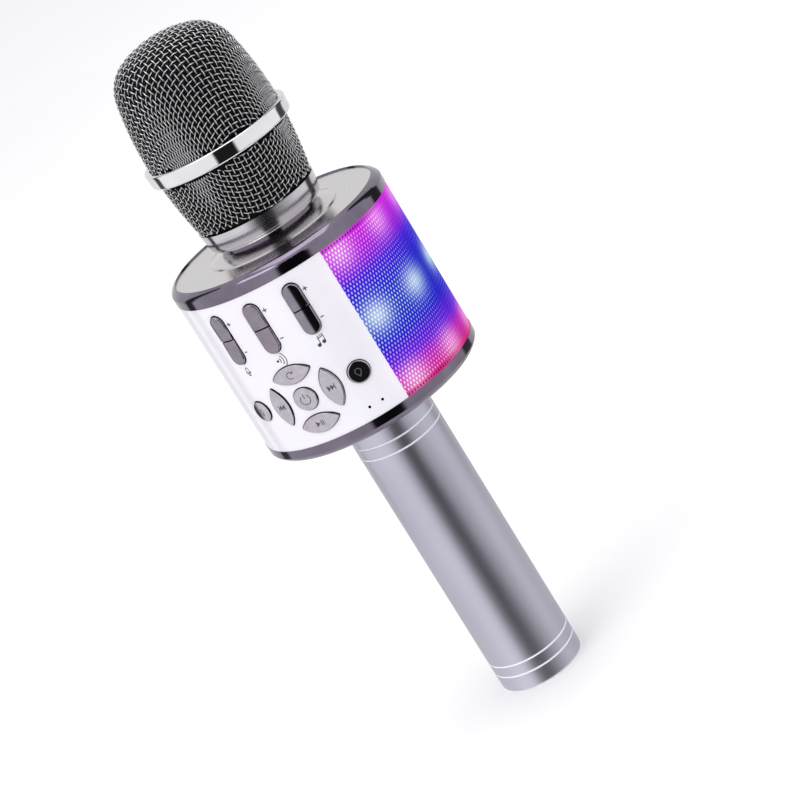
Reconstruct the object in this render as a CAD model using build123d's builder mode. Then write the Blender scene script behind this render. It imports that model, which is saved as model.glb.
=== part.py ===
from build123d import *
import os
from math import asin, atan2, cos, degrees, hypot, radians, sin, sqrt

# A cordless karaoke microphone: a tubular handle, a speaker drum with a control
# panel and a lit grille, and a screw-on wire head. The origin is the middle of
# the handle's flat foot, +Z runs up to the head and the control panel faces -Y.

# Handle
handle_radius = 16.25
handle_length = 120.85
handle_wall = 1.4
handle_edge = 0.8
groove_width = 0.7
groove_depth = 0.25
groove_foot_gap = 6.6
groove_top_gap = 13.2
groove_spacing = 4.6
cap_thickness = 3.0
fit_gap = 0.05

# Sockets and battery inside the handle
port_board_length = 27.0
port_board_thickness = 1.2
jack_bore_radius = 1.8
jack_nose_radius = 2.75
jack_body_width = 6.0
jack_length = 14.5
jack_wall = 1.2
usb_width = 8.0
usb_height = 2.8
usb_length = 6.5
card_slot_width = 13.0
card_slot_height = 1.8
card_slot_length = 15.0
sheet_wall = 0.3
window_gap = 0.2
cell_radius = 9.2
cradle_top_gap = 8.65
cradle_wall = 2.0
cradle_gap = 3.0

# Drum
drum_radius = 41.3
drum_height = 69.8
bezel_height = 5.5
bezel_proud = 0.2
bezel_bevel = 2.7
bezel_crease = 2.4
bezel_bulge = 0.35
bezel_skirt = 1.5
plate_recess = 0.55
plate_thickness = 1.6
grille_wall = 0.6
panel_wall = 2.0
panel_arc = 61.0
seam_gap = 0.15
diffuser_wall = 1.0
diffuser_gap = 0.2
chassis_depth = 5.0
chassis_wall = 1.8
film_thickness = 0.3
spigot_length = 10.0
wire_hole_radius = 9.0
boss_radius = 2.8
boss_height = 12.0
screw_radius = 1.2
screw_head_radius = 2.5
screw_length = 9.0

# Lights
led_size = 3.5
led_height = 1.0
led_columns = 10
led_edge_arc = 5.6
led_row_edge = 4.4

# Controls on the panel, arcs being measured round the drum from the panel's middle
key_width = 6.1
key_spacing = 15.6
key_top_gap = 3.6
key_proud = 0.9
key_valley = 0.4
key_groove = 0.5
key_edge = 0.6
key_end_gap = 0.35
key_tilt = 3.5
pivot_depth = 3.4
pivot_boss_radius = 1.1
pin_radius = 0.5
pin_gap = 0.05
lug_width = 1.4
lug_height = 3.2
lug_gap = 0.2
label_gap = 5.75
pad_foot_gap = 3.9
power_radius = 4.35
leaf_length = 15.4
leaf_width = 6.8
leaf_tip = 0.5
leaf_reach = leaf_length / 2 + 2.1
side_leaf_reach = leaf_length / 2 + 2.7
round_radius = 4.0
round_reach = side_leaf_reach + leaf_width / 2 + round_radius + 3.0
button_proud = 0.7
button_gap = 0.2
button_edge = 0.45
button_travel = 0.7
flange_width = 0.8
flange_thickness = 0.75
switch_radius = 1.6
switch_reach = 6.2
lens_radius = 0.5
lens_arcs = (17.6, 22.6)
lens_foot_gap = 4.5

# Speaker and electronics inside the drum
speaker_width = 50.0
speaker_plate = 1.2
baffle_wall = 2.0
speaker_bore = 22.0
speaker_screw_inset = 3.5
basket_depth = 10.0
basket_back_radius = 15.0
basket_wall = 1.0
magnet_radius = 17.0
magnet_depth = 8.0
cone_wall = 0.6
cone_depth = 7.5
cone_neck_radius = 7.0
surround_width = 2.6
board_distance = 15.0
board_thickness = 1.6
board_margin = 4.0
rail_thickness = 2.0
rail_depth = 2.0

# Neck and microphone capsule
neck_radius = 18.0
neck_step = 1.0
neck_wall = 1.6
neck_reach = 8.5
flange_radius = neck_radius + 6.9
flange_rim = 0.35
flange_height = 2.45
flange_top_radius = neck_radius + 0.9
nut_height = 3.0
nut_wall = 4.0
holder_lip = 1.5
holder_depth = 6.0
boot_wall = 1.6
boot_height = 11.0
capsule_radius = neck_radius - 5.5
holder_bore = capsule_radius - 3.5
capsule_height = 11.5

# Screw-on head
thread_gap = 0.08
collar_lift = 1.7
collar_height = 7.6
collar_foot_radius = neck_radius + 2.6
collar_waist_radius = neck_radius + 3.8
collar_top_radius = neck_radius + 4.4
collar_waist_height = 2.2
basket_foot_radius = collar_top_radius - 0.3
dome_radius = 25.25
basket_top_radius = dome_radius - 0.4
basket_swell = 0.35
basket_height = 22.0
mesh_wall = 0.8
belt_height = 5.55
belt_foot_radius = dome_radius + 1.75
belt_top_radius = dome_radius + 2.15
belt_edge = 0.8
belt_seat = 2.75
dome_height = 38.25
dome_side_radius = 120.7
dome_side_height = 25.05
dome_shoulder_radius = 14.5
foam_gap = 0.3
foam_wall = 6.0
foam_foot_gap = 1.2


def section_plane(angle):
    """Upright plane through the drum's axis, its x running outward at this angle from +X."""
    outward = Vector(cos(radians(angle)), sin(radians(angle)), 0)
    return Plane(origin=(0, 0, 0), x_dir=outward, z_dir=(outward.Y, -outward.X, 0))


def drum_plane(arc, height, radius):
    """Plane facing out of the drum: x along its girth, y up, z outward."""
    angle = arc / drum_radius
    outward = Vector(sin(angle), -cos(angle), 0)
    origin = outward * radius + Vector(0, 0, height)
    return Plane(origin=origin, x_dir=(cos(angle), sin(angle), 0), z_dir=outward)


def bulged_middle(start, end, bulge):
    """Middle point of an arc that stands off its chord, to the right of start to end."""
    along = (end[0] - start[0], end[1] - start[1])
    share = bulge / hypot(*along)
    middle = ((start[0] + end[0]) / 2, (start[1] + end[1]) / 2)
    return (middle[0] + along[1] * share, middle[1] - along[0] * share)


def finish(part, name):
    """Labels a finished piece and writes it to its own file."""
    part.label = name
    export_step(part, f"parts/{name}.step")


os.makedirs("parts", exist_ok=True)

# ------------------------------------------------------------------ handle
handle_bore = handle_radius - handle_wall
drum_foot = handle_length - plate_recess
drum_top = drum_foot + drum_height

groove_heights = [
    groove_foot_gap,
    groove_foot_gap + groove_spacing,
    handle_length - groove_top_gap - groove_spacing,
    handle_length - groove_top_gap,
]

with BuildPart() as handle_tube:
    with BuildSketch(Plane.XY):
        Circle(handle_radius)
        Circle(handle_bore, mode=Mode.SUBTRACT)
    extrude(amount=handle_length)
    rim = handle_tube.faces().sort_by(Axis.Z)[0].edges().sort_by(SortBy.LENGTH)[-1]
    fillet(rim, handle_edge)
    for groove_height in groove_heights:
        with BuildSketch(Plane.XY.offset(groove_height - groove_width / 2)):
            Circle(handle_radius + 1)
            Circle(handle_radius - groove_depth, mode=Mode.SUBTRACT)
        extrude(amount=groove_width, mode=Mode.SUBTRACT)
finish(handle_tube.part, "handle_tube")

# The sockets stand on an upright board whose faces they share
jack_centre = (-(jack_body_width / 2 + 2.5), -jack_body_width / 2)
usb_centre = (usb_width / 2 + 1.5, -usb_height / 2)
card_centre = (0, port_board_thickness + card_slot_height / 2)

with BuildPart() as end_cap:
    with BuildSketch(Plane.XY):
        Circle(handle_bore - fit_gap)
        with Locations(jack_centre):
            Circle(jack_nose_radius + window_gap, mode=Mode.SUBTRACT)
        with Locations(usb_centre):
            usb_window = (usb_width + 2 * window_gap, usb_height + 2 * window_gap)
            Rectangle(*usb_window, mode=Mode.SUBTRACT)
        with Locations(card_centre):
            card_window = (card_slot_width + 2 * window_gap, card_slot_height + 2 * window_gap)
            Rectangle(*card_window, mode=Mode.SUBTRACT)
    extrude(amount=cap_thickness)
finish(end_cap.part, "end_cap")

board_half_width = sqrt((handle_bore - fit_gap) ** 2 - port_board_thickness**2) - fit_gap
board_foot = cap_thickness + window_gap

with BuildPart() as port_board:
    with BuildSketch(Plane.XY.offset(board_foot)):
        with Locations((0, port_board_thickness / 2)):
            Rectangle(2 * board_half_width, port_board_thickness)
    extrude(amount=port_board_length)
finish(port_board.part, "port_board")

with BuildPart() as audio_jack:
    with BuildSketch(Plane.XY):
        with Locations(jack_centre):
            Circle(jack_nose_radius)
    extrude(amount=board_foot)
    with BuildSketch(Plane.XY.offset(board_foot)):
        with Locations(jack_centre):
            Rectangle(jack_body_width, jack_body_width)
    extrude(amount=jack_length - board_foot)
    with BuildSketch(Plane.XY):
        with Locations(jack_centre):
            Circle(jack_bore_radius)
    extrude(amount=jack_length - jack_wall, mode=Mode.SUBTRACT)
finish(audio_jack.part, "audio_jack")

with BuildPart() as charge_socket:
    with BuildSketch(Plane.XY.offset(window_gap)):
        with Locations(usb_centre):
            RectangleRounded(usb_width, usb_height, usb_height / 4)
    extrude(amount=usb_length)
    with BuildSketch(Plane.XY.offset(window_gap)):
        with Locations(usb_centre):
            Rectangle(usb_width - 4 * sheet_wall, usb_height - 2 * sheet_wall)
            Rectangle(usb_width / 2, usb_height / 4, mode=Mode.SUBTRACT)
    extrude(amount=usb_length - 2 * sheet_wall, mode=Mode.SUBTRACT)
finish(charge_socket.part, "charge_socket")

with BuildPart() as card_slot:
    with BuildSketch(Plane.XY.offset(window_gap)):
        with Locations(card_centre):
            Rectangle(card_slot_width, card_slot_height)
    extrude(amount=card_slot_length)
    with BuildSketch(Plane.XY.offset(window_gap)):
        with Locations(card_centre):
            Rectangle(card_slot_width - 4 * sheet_wall, card_slot_height - 2 * sheet_wall)
    extrude(amount=card_slot_length - 2 * sheet_wall, mode=Mode.SUBTRACT)
finish(card_slot.part, "card_slot")

cradle_foot = board_foot + port_board_length + cradle_gap
cell_foot = cradle_foot + cradle_wall
cell_length = handle_length - spigot_length - cradle_top_gap - cradle_wall - cell_foot

with BuildPart() as battery_cradle:
    with BuildSketch(Plane.XY.offset(cradle_foot)):
        Circle(handle_bore - 2 * fit_gap)
        with Locations((0, handle_bore)):
            Rectangle(cell_radius, handle_bore, mode=Mode.SUBTRACT)
    extrude(amount=cell_length + 2 * cradle_wall)
    with BuildSketch(Plane.XY.offset(cell_foot)):
        Circle(cell_radius + fit_gap)
    extrude(amount=cell_length, mode=Mode.SUBTRACT)
finish(battery_cradle.part, "battery_cradle")

with BuildPart() as battery_cell:
    with BuildSketch(Plane.XY.offset(cell_foot)):
        Circle(cell_radius)
    extrude(amount=cell_length)
    fillet(battery_cell.edges().filter_by(GeomType.CIRCLE), fit_gap * 10)
finish(battery_cell.part, "battery_cell")

# ------------------------------------------------------------------ drum ends
bezel_radius = drum_radius + bezel_proud
lip_radius = bezel_radius - bezel_bevel
grille_inner = drum_radius - grille_wall
chassis_radius = drum_radius - chassis_depth
chassis_bore = chassis_radius - chassis_wall
plate_radius = lip_radius - fit_gap
plate_depth = plate_recess + plate_thickness
ledge_inner = chassis_radius + fit_gap
panel_foot = drum_foot + bezel_height
panel_top = drum_top - bezel_height
panel_height = panel_top - panel_foot
skirt_foot = panel_foot + bezel_skirt
skirt_top = panel_top - bezel_skirt


def build_bezel(rim_height, inward):
    """A bezel ring; inward is the way from its rim to the drum's middle, 1 or -1."""
    skirt_outer = grille_inner - fit_gap * 2
    skirt_inner = skirt_outer - bezel_skirt
    crease = (bezel_radius, rim_height + inward * bezel_crease)
    lip = (lip_radius, rim_height)
    walls = [
        lip,
        (lip_radius, rim_height + inward * plate_depth),
        (ledge_inner, rim_height + inward * plate_depth),
        (ledge_inner, rim_height + inward * (plate_depth + plate_thickness)),
        (skirt_inner, rim_height + inward * (plate_depth + plate_thickness)),
        (skirt_inner, rim_height + inward * (bezel_height + bezel_skirt)),
        (skirt_outer, rim_height + inward * (bezel_height + bezel_skirt)),
        (skirt_outer, rim_height + inward * bezel_height),
        (bezel_radius, rim_height + inward * bezel_height),
        crease,
    ]
    with BuildPart() as bezel:
        with BuildSketch(Plane.XZ):
            with BuildLine():
                Polyline(*walls)
                ThreePointArc(crease, bulged_middle(crease, lip, -inward * bezel_bulge), lip)
            make_face()
        revolve(axis=Axis.Z)
    return bezel.part


finish(build_bezel(drum_top, -1), "top_bezel")
finish(build_bezel(drum_foot, 1), "bottom_bezel")

boss_ring = chassis_bore + chassis_wall / 2 - boss_radius
countersink = screw_head_radius - screw_radius
bottom_plate_top = handle_length + plate_thickness

with BuildPart() as bottom_plate:
    with BuildSketch(Plane.XY.offset(handle_length)):
        Circle(plate_radius)
    extrude(amount=plate_thickness)
    with BuildSketch(Plane.XY.offset(handle_length - spigot_length)):
        Circle(handle_bore - fit_gap)
    extrude(amount=spigot_length)
    with BuildSketch(Plane.XY.offset(handle_length - spigot_length)):
        Circle(wire_hole_radius)
    extrude(amount=spigot_length + plate_thickness, mode=Mode.SUBTRACT)
    with Locations(Plane(origin=(0, 0, handle_length), x_dir=(1, 0, 0), z_dir=(0, 0, -1))):
        with PolarLocations(boss_ring, 4):
            CounterSinkHole(screw_radius + fit_gap, screw_head_radius + fit_gap, plate_thickness)
finish(bottom_plate.part, "bottom_plate")

with BuildPart() as base_screws:
    with Locations((0, 0, handle_length)):
        with PolarLocations(boss_ring, 4):
            Cone(screw_head_radius, screw_radius, countersink, align=(Align.CENTER, Align.CENTER, Align.MIN))
            Cylinder(screw_radius, screw_length, align=(Align.CENTER, Align.CENTER, Align.MIN))
finish(base_screws.part, "base_screws")

top_plate_foot = drum_top - plate_depth
neck_inner_radius = neck_radius - neck_step

with BuildPart() as top_plate:
    with BuildSketch(Plane.XY.offset(top_plate_foot)):
        Circle(plate_radius)
        Circle(neck_inner_radius + fit_gap, mode=Mode.SUBTRACT)
    extrude(amount=plate_thickness)
finish(top_plate.part, "top_plate")

# ------------------------------------------------------------------ chassis and speaker
speaker_height = (panel_foot + panel_top) / 2
baffle_front = sqrt((chassis_bore - fit_gap) ** 2 - (speaker_width / 2 + 1) ** 2)
rail_reach = sqrt(chassis_bore**2 - board_distance**2)
board_half = rail_reach - board_margin
screw_reach = speaker_width / 2 - speaker_screw_inset
back_plane = Plane(origin=(0, baffle_front, speaker_height), x_dir=(1, 0, 0), z_dir=(0, 1, 0))

with BuildPart() as chassis:
    with BuildSketch(Plane.XY.offset(bottom_plate_top)):
        Circle(chassis_radius)
        Circle(chassis_bore, mode=Mode.SUBTRACT)
    extrude(amount=top_plate_foot - bottom_plate_top)
    with BuildSketch(Plane.XY.offset(bottom_plate_top)):
        Circle(chassis_bore + chassis_wall / 2)
        with Locations((0, baffle_front + baffle_wall / 2)):
            Rectangle(2 * drum_radius, baffle_wall, mode=Mode.INTERSECT)
    extrude(amount=top_plate_foot - bottom_plate_top)
    with BuildSketch(Plane.XY.offset(bottom_plate_top)):
        Circle(chassis_bore + chassis_wall / 2)
        with Locations((0, -board_distance - board_thickness / 2)):
            rail_width = board_thickness + 2 * rail_thickness
            Rectangle(2 * drum_radius, rail_width, mode=Mode.INTERSECT)
            Rectangle(2 * (board_half - rail_depth), rail_width, mode=Mode.SUBTRACT)
            Rectangle(2 * (board_half + fit_gap), board_thickness + 2 * fit_gap, mode=Mode.SUBTRACT)
    extrude(amount=top_plate_foot - bottom_plate_top)
    with BuildSketch(Plane.XY.offset(bottom_plate_top)):
        with PolarLocations(boss_ring, 4):
            Circle(boss_radius)
    extrude(amount=boss_height)
    with BuildSketch(Plane.XY.offset(bottom_plate_top)):
        with PolarLocations(boss_ring, 4):
            Circle(screw_radius + fit_gap)
    extrude(amount=screw_length, mode=Mode.SUBTRACT)
    with BuildSketch(back_plane):
        Circle(speaker_bore)
    extrude(amount=drum_radius, mode=Mode.SUBTRACT)
    with BuildSketch(back_plane):
        with GridLocations(2 * screw_reach, 2 * screw_reach, 2, 2):
            Circle(screw_radius)
    extrude(amount=baffle_wall, mode=Mode.SUBTRACT)
finish(chassis.part, "chassis")

# The speaker faces the back of the drum; its parts are revolved about its own axis
speaker_axis = Axis((0, 0, speaker_height), (0, 1, 0))
speaker_section = Plane.XY.offset(speaker_height)
plate_front = baffle_front - speaker_plate
basket_back = plate_front - basket_depth
cone_radius = speaker_bore - surround_width - 0.4

with BuildPart() as speaker_frame:
    with BuildSketch(back_plane):
        RectangleRounded(speaker_width, speaker_width, speaker_screw_inset)
        Circle(speaker_bore, mode=Mode.SUBTRACT)
        with GridLocations(2 * screw_reach, 2 * screw_reach, 2, 2):
            Circle(screw_radius + fit_gap, mode=Mode.SUBTRACT)
    extrude(amount=-speaker_plate)
    with BuildSketch(speaker_section):
        Polygon(
            (speaker_bore, plate_front),
            (speaker_bore + basket_wall, plate_front),
            (basket_back_radius + basket_wall, basket_back),
            (cone_neck_radius, basket_back),
            (cone_neck_radius, basket_back + basket_wall),
            (basket_back_radius, basket_back + basket_wall),
            align=None,
        )
    revolve(axis=speaker_axis)
finish(speaker_frame.part, "speaker_frame")

with BuildPart() as speaker_magnet:
    with BuildSketch(back_plane.offset(-speaker_plate - basket_depth)):
        Circle(magnet_radius)
    extrude(amount=-magnet_depth)
    chamfer(speaker_magnet.edges().sort_by(Axis.Y)[0], basket_wall)
finish(speaker_magnet.part, "speaker_magnet")

with BuildPart() as speaker_cone:
    with BuildSketch(speaker_section):
        Polygon(
            (cone_radius, plate_front),
            (cone_radius, plate_front - cone_wall),
            (cone_neck_radius, plate_front - cone_depth - cone_wall),
            (0, plate_front - cone_depth - cone_wall),
            (0, plate_front - cone_depth + 2 * cone_wall),
            (cone_neck_radius, plate_front - cone_depth),
            align=None,
        )
    revolve(axis=speaker_axis)
finish(speaker_cone.part, "speaker_cone")

with BuildPart() as speaker_surround:
    with BuildSketch(speaker_section):
        with Locations((cone_radius + surround_width / 2 + 0.2, plate_front)):
            Circle(surround_width / 2)
            Circle(surround_width / 2 - cone_wall, mode=Mode.SUBTRACT)
        with Locations((cone_radius, plate_front)):
            below = (Align.CENTER, Align.MAX)
            Rectangle(4 * surround_width, surround_width, align=below, mode=Mode.SUBTRACT)
    revolve(axis=speaker_axis)
finish(speaker_surround.part, "speaker_surround")

with BuildPart() as speaker_screws:
    with BuildSketch(back_plane.offset(-speaker_plate)):
        with GridLocations(2 * screw_reach, 2 * screw_reach, 2, 2):
            Circle(screw_head_radius)
    extrude(amount=-screw_radius)
    with BuildSketch(back_plane.offset(-speaker_plate)):
        with GridLocations(2 * screw_reach, 2 * screw_reach, 2, 2):
            Circle(screw_radius - fit_gap)
    extrude(amount=speaker_plate + baffle_wall)
finish(speaker_screws.part, "speaker_screws")

board_plane = Plane(origin=(0, -board_distance, speaker_height), x_dir=(1, 0, 0), z_dir=(0, 1, 0))
board_height = panel_height - 2 * rail_thickness

with BuildPart() as main_board:
    with BuildSketch(board_plane):
        Rectangle(2 * board_half, board_height)
    extrude(amount=-board_thickness)
finish(main_board.part, "main_board")

# Chips, capacitors and a radio module, placed across the board by shares of its size
board_items = [
    (0.0, 0.25, 10.0, 10.0, 1.4),
    (-0.55, 0.25, 8.0, 6.0, 1.4),
    (0.55, 0.3, 12.0, 14.0, 2.2),
    (-0.5, -0.2, 6.0, 6.0, 3.0),
    (0.0, -0.15, 7.0, 5.0, 1.4),
    (0.5, -0.25, 9.0, 5.0, 5.0),
]

with BuildPart() as board_components:
    for across, up, width, height, depth in board_items:
        with BuildSketch(board_plane):
            with Locations((across * board_half, up * board_height)):
                Rectangle(width, height)
        extrude(amount=depth)
finish(board_components.part, "board_components")

# ------------------------------------------------------------------ grille and lights
panel_half_angle = degrees(panel_arc / 2 / drum_radius)
seam_angle = degrees(seam_gap / drum_radius)
grille_start = -90 + panel_half_angle + seam_angle
grille_angle = 360 - 2 * (panel_half_angle + seam_angle)


def build_sleeve(outer, wall, foot, top, start, angle):
    """An upright curved sheet round the drum's axis."""
    with BuildPart() as sleeve:
        with BuildSketch(section_plane(start)):
            Polygon((outer - wall, foot), (outer, foot), (outer, top), (outer - wall, top), align=None)
        revolve(axis=Axis.Z, revolution_arc=angle)
    return sleeve.part


grille = build_sleeve(drum_radius, grille_wall, panel_foot, panel_top, grille_start, grille_angle)
finish(grille, "speaker_grille")

diffuser_outer = grille_inner - diffuser_gap
diffuser_ends = (skirt_foot + fit_gap, skirt_top - fit_gap)

with BuildPart() as light_diffuser:
    add(build_sleeve(diffuser_outer, diffuser_wall, *diffuser_ends, grille_start, grille_angle))
    with BuildSketch(back_plane):
        Circle(speaker_bore)
    extrude(amount=drum_radius, mode=Mode.SUBTRACT)
finish(light_diffuser.part, "light_diffuser")

film_outer = chassis_radius + film_thickness

with BuildPart() as led_strip:
    add(build_sleeve(film_outer, film_thickness, *diffuser_ends, grille_start, grille_angle))
    with BuildSketch(back_plane):
        Circle(speaker_bore)
    extrude(amount=drum_radius, mode=Mode.SUBTRACT)
finish(led_strip.part, "led_strip")

led_first_arc = panel_arc / 2 + led_edge_arc
led_last_arc = radians(360) * drum_radius - led_first_arc
led_step = (led_last_arc - led_first_arc) / (led_columns - 1)
led_rows = (panel_foot + led_row_edge, speaker_height, panel_top - led_row_edge)
window_reach = speaker_bore + led_size

with BuildPart() as leds:
    for column in range(led_columns):
        led_arc = led_first_arc + column * led_step
        for led_row in led_rows:
            led_plane = drum_plane(led_arc, led_row, film_outer)
            behind = led_plane.z_dir.Y > 0
            if behind and hypot(led_plane.origin.X, led_row - speaker_height) < window_reach:
                continue
            with BuildSketch(led_plane):
                Rectangle(led_size, led_size)
            extrude(amount=led_height)
finish(leds.part, "leds")

# ------------------------------------------------------------------ panel and controls
pad_height = 2 * leaf_reach + leaf_width
pad_centre = panel_foot + pad_foot_gap + pad_height / 2
key_length = panel_height - key_top_gap - label_gap - pad_height - pad_foot_gap
key_centre = panel_top - key_top_gap - key_length / 2
panel_inner = drum_radius - panel_wall
pivot_radius = drum_radius - pivot_depth
flange_outer = panel_inner - fit_gap * 2
flange_inner = flange_outer - flange_thickness
switch_top = flange_inner - button_travel - fit_gap
lens_height = panel_foot + lens_foot_gap

keys = {
    "mic_key": -key_spacing,
    "reverb_key": 0,
    "music_key": key_spacing,
}

# Each button's arc from the panel's middle, height from the pad's centre, length and width
buttons = {
    "power_button": (0, 0, 2 * power_radius, 2 * power_radius),
    "mode_button": (0, leaf_reach, leaf_length, leaf_width),
    "play_button": (0, -leaf_reach, leaf_length, leaf_width),
    "previous_button": (-side_leaf_reach, 0, leaf_width, leaf_length),
    "next_button": (side_leaf_reach, 0, leaf_width, leaf_length),
    "voice_button": (-round_reach, 0, 2 * round_radius, 2 * round_radius),
    "light_button": (round_reach, 0, 2 * round_radius, 2 * round_radius),
}


def draw_button(width, height, margin):
    """Outline of a button in the sketch in hand: a disc, or a leaf where two discs overlap."""
    if width == height:
        Circle(width / 2 + margin)
        return
    length = max(width, height)
    thickness = min(width, height)
    arc_radius = (length**2 + thickness**2) / (4 * thickness)
    shift = arc_radius - thickness / 2
    away = (0, shift) if width > height else (shift, 0)
    with Locations(away):
        Circle(arc_radius)
    with Locations((-away[0], -away[1])):
        Circle(arc_radius, mode=Mode.INTERSECT)
    fillet(vertices(), leaf_tip)
    if margin:
        offset(amount=margin, kind=Kind.ARC)


with BuildPart() as control_panel:
    panel_section = [
        (drum_radius, panel_foot),
        (drum_radius, panel_top),
        (grille_inner, panel_top),
        (grille_inner, skirt_top - fit_gap),
        (panel_inner, skirt_top - fit_gap),
        (panel_inner, skirt_foot + fit_gap),
        (grille_inner, skirt_foot + fit_gap),
        (grille_inner, panel_foot),
    ]
    with BuildSketch(section_plane(-90 - panel_half_angle)):
        Polygon(*panel_section, align=None)
    revolve(axis=Axis.Z, revolution_arc=2 * panel_half_angle)
    lug_centre = key_width / 2 + lug_gap + lug_width / 2
    for key_arc in keys.values():
        lug_foot = pivot_radius - pivot_boss_radius
        with BuildSketch(drum_plane(key_arc, key_centre, lug_foot)):
            with Locations((-lug_centre, 0), (lug_centre, 0)):
                Rectangle(lug_width, lug_height)
        extrude(amount=panel_inner + panel_wall / 2 - lug_foot)
        with BuildSketch(drum_plane(key_arc, key_centre, panel_inner - panel_wall)):
            slot_width = key_width + 2 * button_gap
            slot_length = key_length + 2 * key_end_gap
            SlotOverall(slot_length, slot_width, rotation=90)
        extrude(amount=drum_radius, mode=Mode.SUBTRACT)
        pin_plane = drum_plane(key_arc, key_centre, pivot_radius)
        pin_bore = Plane(origin=pin_plane.origin, x_dir=pin_plane.z_dir, z_dir=pin_plane.x_dir)
        with BuildSketch(pin_bore):
            Circle(pin_radius + pin_gap / 5)
        extrude(amount=lug_centre + lug_width, both=True, mode=Mode.SUBTRACT)
    for button_arc, rise, width, height in buttons.values():
        with BuildSketch(drum_plane(button_arc, pad_centre + rise, panel_inner - panel_wall)):
            draw_button(width, height, button_gap)
        extrude(amount=drum_radius, mode=Mode.SUBTRACT)
    for lens_arc in lens_arcs:
        with BuildSketch(drum_plane(lens_arc, lens_height, panel_inner - panel_wall)):
            Circle(lens_radius + fit_gap / 2)
        extrude(amount=drum_radius, mode=Mode.SUBTRACT)
finish(control_panel.part, "control_panel")


def build_key(arc):
    """A two-way rocker key with a shallow valley, a pivot boss and a pin bore."""
    key_plane = drum_plane(arc, key_centre, 0)
    side_plane = Plane(origin=key_plane.origin, x_dir=key_plane.z_dir, z_dir=-key_plane.x_dir)
    crest = drum_radius + key_proud
    with BuildPart() as key:
        with BuildSketch(drum_plane(arc, key_centre, flange_inner)):
            SlotOverall(key_length, key_width, rotation=90)
        extrude(amount=crest + key_proud - flange_inner)
        with BuildSketch(Plane.XY.offset(key_centre - key_length)):
            Circle(crest)
        extrude(amount=2 * key_length, mode=Mode.INTERSECT)
        face = key.faces().sort_by(Axis((0, 0, key_centre), key_plane.z_dir))[-1]
        fillet(face.edges(), key_edge)
        with BuildSketch(side_plane):
            Polygon(
                (crest + key_proud, -key_length / 2),
                (crest, -key_length / 2),
                (crest - key_valley, 0),
                (crest, key_length / 2),
                (crest + key_proud, key_length / 2),
                align=None,
            )
            with Locations((crest - key_valley, 0)):
                Rectangle(2 * key_groove, key_groove)
        extrude(amount=key_width, both=True, mode=Mode.SUBTRACT)
        with BuildSketch(side_plane):
            with Locations((pivot_radius, 0)):
                Circle(pivot_boss_radius)
        extrude(amount=key_width / 2, both=True)
        with BuildSketch(side_plane):
            with Locations((pivot_radius, 0)):
                Circle(pin_radius + pin_gap)
        extrude(amount=key_width, both=True, mode=Mode.SUBTRACT)
    return key.part


for key_name, key_arc in keys.items():
    finish(build_key(key_arc), key_name)

with BuildPart() as key_pins:
    for key_arc in keys.values():
        pin_plane = drum_plane(key_arc, key_centre, pivot_radius)
        with BuildSketch(Plane(origin=pin_plane.origin, x_dir=pin_plane.z_dir, z_dir=pin_plane.x_dir)):
            Circle(pin_radius)
        extrude(amount=lug_centre + lug_width / 2, both=True)
finish(key_pins.part, "key_pins")


def build_button(arc, rise, width, height):
    """A push button with a crowned face and a flange that keeps it behind the panel."""
    centre = pad_centre + rise
    reach = max(width, height)
    with BuildPart() as button:
        with BuildSketch(drum_plane(arc, centre, flange_inner)):
            draw_button(width, height, 0)
        extrude(amount=drum_radius + reach - flange_inner)
        with BuildSketch(Plane.XY.offset(centre - reach)):
            Circle(drum_radius + button_proud)
        extrude(amount=2 * reach, mode=Mode.INTERSECT)
        outward = drum_plane(arc, centre, 0).z_dir
        face = button.faces().sort_by(Axis((0, 0, centre), outward))[-1]
        fillet(face.edges(), button_edge)
    with BuildPart() as flange:
        with BuildSketch(drum_plane(arc, centre, flange_inner)):
            draw_button(width, height, flange_width)
        extrude(amount=panel_wall)
        with BuildSketch(Plane.XY.offset(centre - reach)):
            Circle(flange_outer)
        extrude(amount=2 * reach, mode=Mode.INTERSECT)
    with BuildPart() as whole:
        add(button.part)
        add(flange.part)
    return whole.part


for button_name, button in buttons.items():
    finish(build_button(*button), button_name)

with BuildPart() as indicator_lenses:
    for lens_arc in lens_arcs:
        with BuildSketch(drum_plane(lens_arc, lens_height, film_outer + led_height)):
            Circle(lens_radius)
        extrude(amount=drum_radius - film_outer - led_height)
finish(indicator_lenses.part, "indicator_lenses")

film_half_angle = panel_half_angle - seam_angle - degrees(bezel_skirt / drum_radius)
film = build_sleeve(
    film_outer, film_thickness, *diffuser_ends, -90 - film_half_angle, 2 * film_half_angle
)
finish(film, "key_circuit")

switch_places = [(arc, pad_centre + rise) for arc, rise, _, _ in buttons.values()]
for key_arc in keys.values():
    switch_places.append((key_arc, key_centre - switch_reach))
    switch_places.append((key_arc, key_centre + switch_reach))

with BuildPart() as dome_switches:
    for switch_arc, switch_height in switch_places:
        with BuildSketch(drum_plane(switch_arc, switch_height, film_outer)):
            Circle(switch_radius)
        extrude(amount=switch_top - film_outer)
finish(dome_switches.part, "dome_switches")

# ------------------------------------------------------------------ neck and capsule
plate_top = drum_top - plate_recess
flange_top = plate_top + flange_height
neck_top = flange_top + neck_reach
neck_bore = neck_inner_radius - neck_wall
nut_foot = top_plate_foot - nut_height

with BuildPart() as neck_flange:
    with BuildSketch(Plane.XZ):
        Polygon(
            (neck_inner_radius + fit_gap, plate_top),
            (flange_radius, plate_top),
            (flange_radius, plate_top + flange_rim),
            (flange_top_radius, flange_top),
            (neck_inner_radius + fit_gap, flange_top),
            align=None,
        )
    revolve(axis=Axis.Z)
finish(neck_flange.part, "neck_flange")

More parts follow.
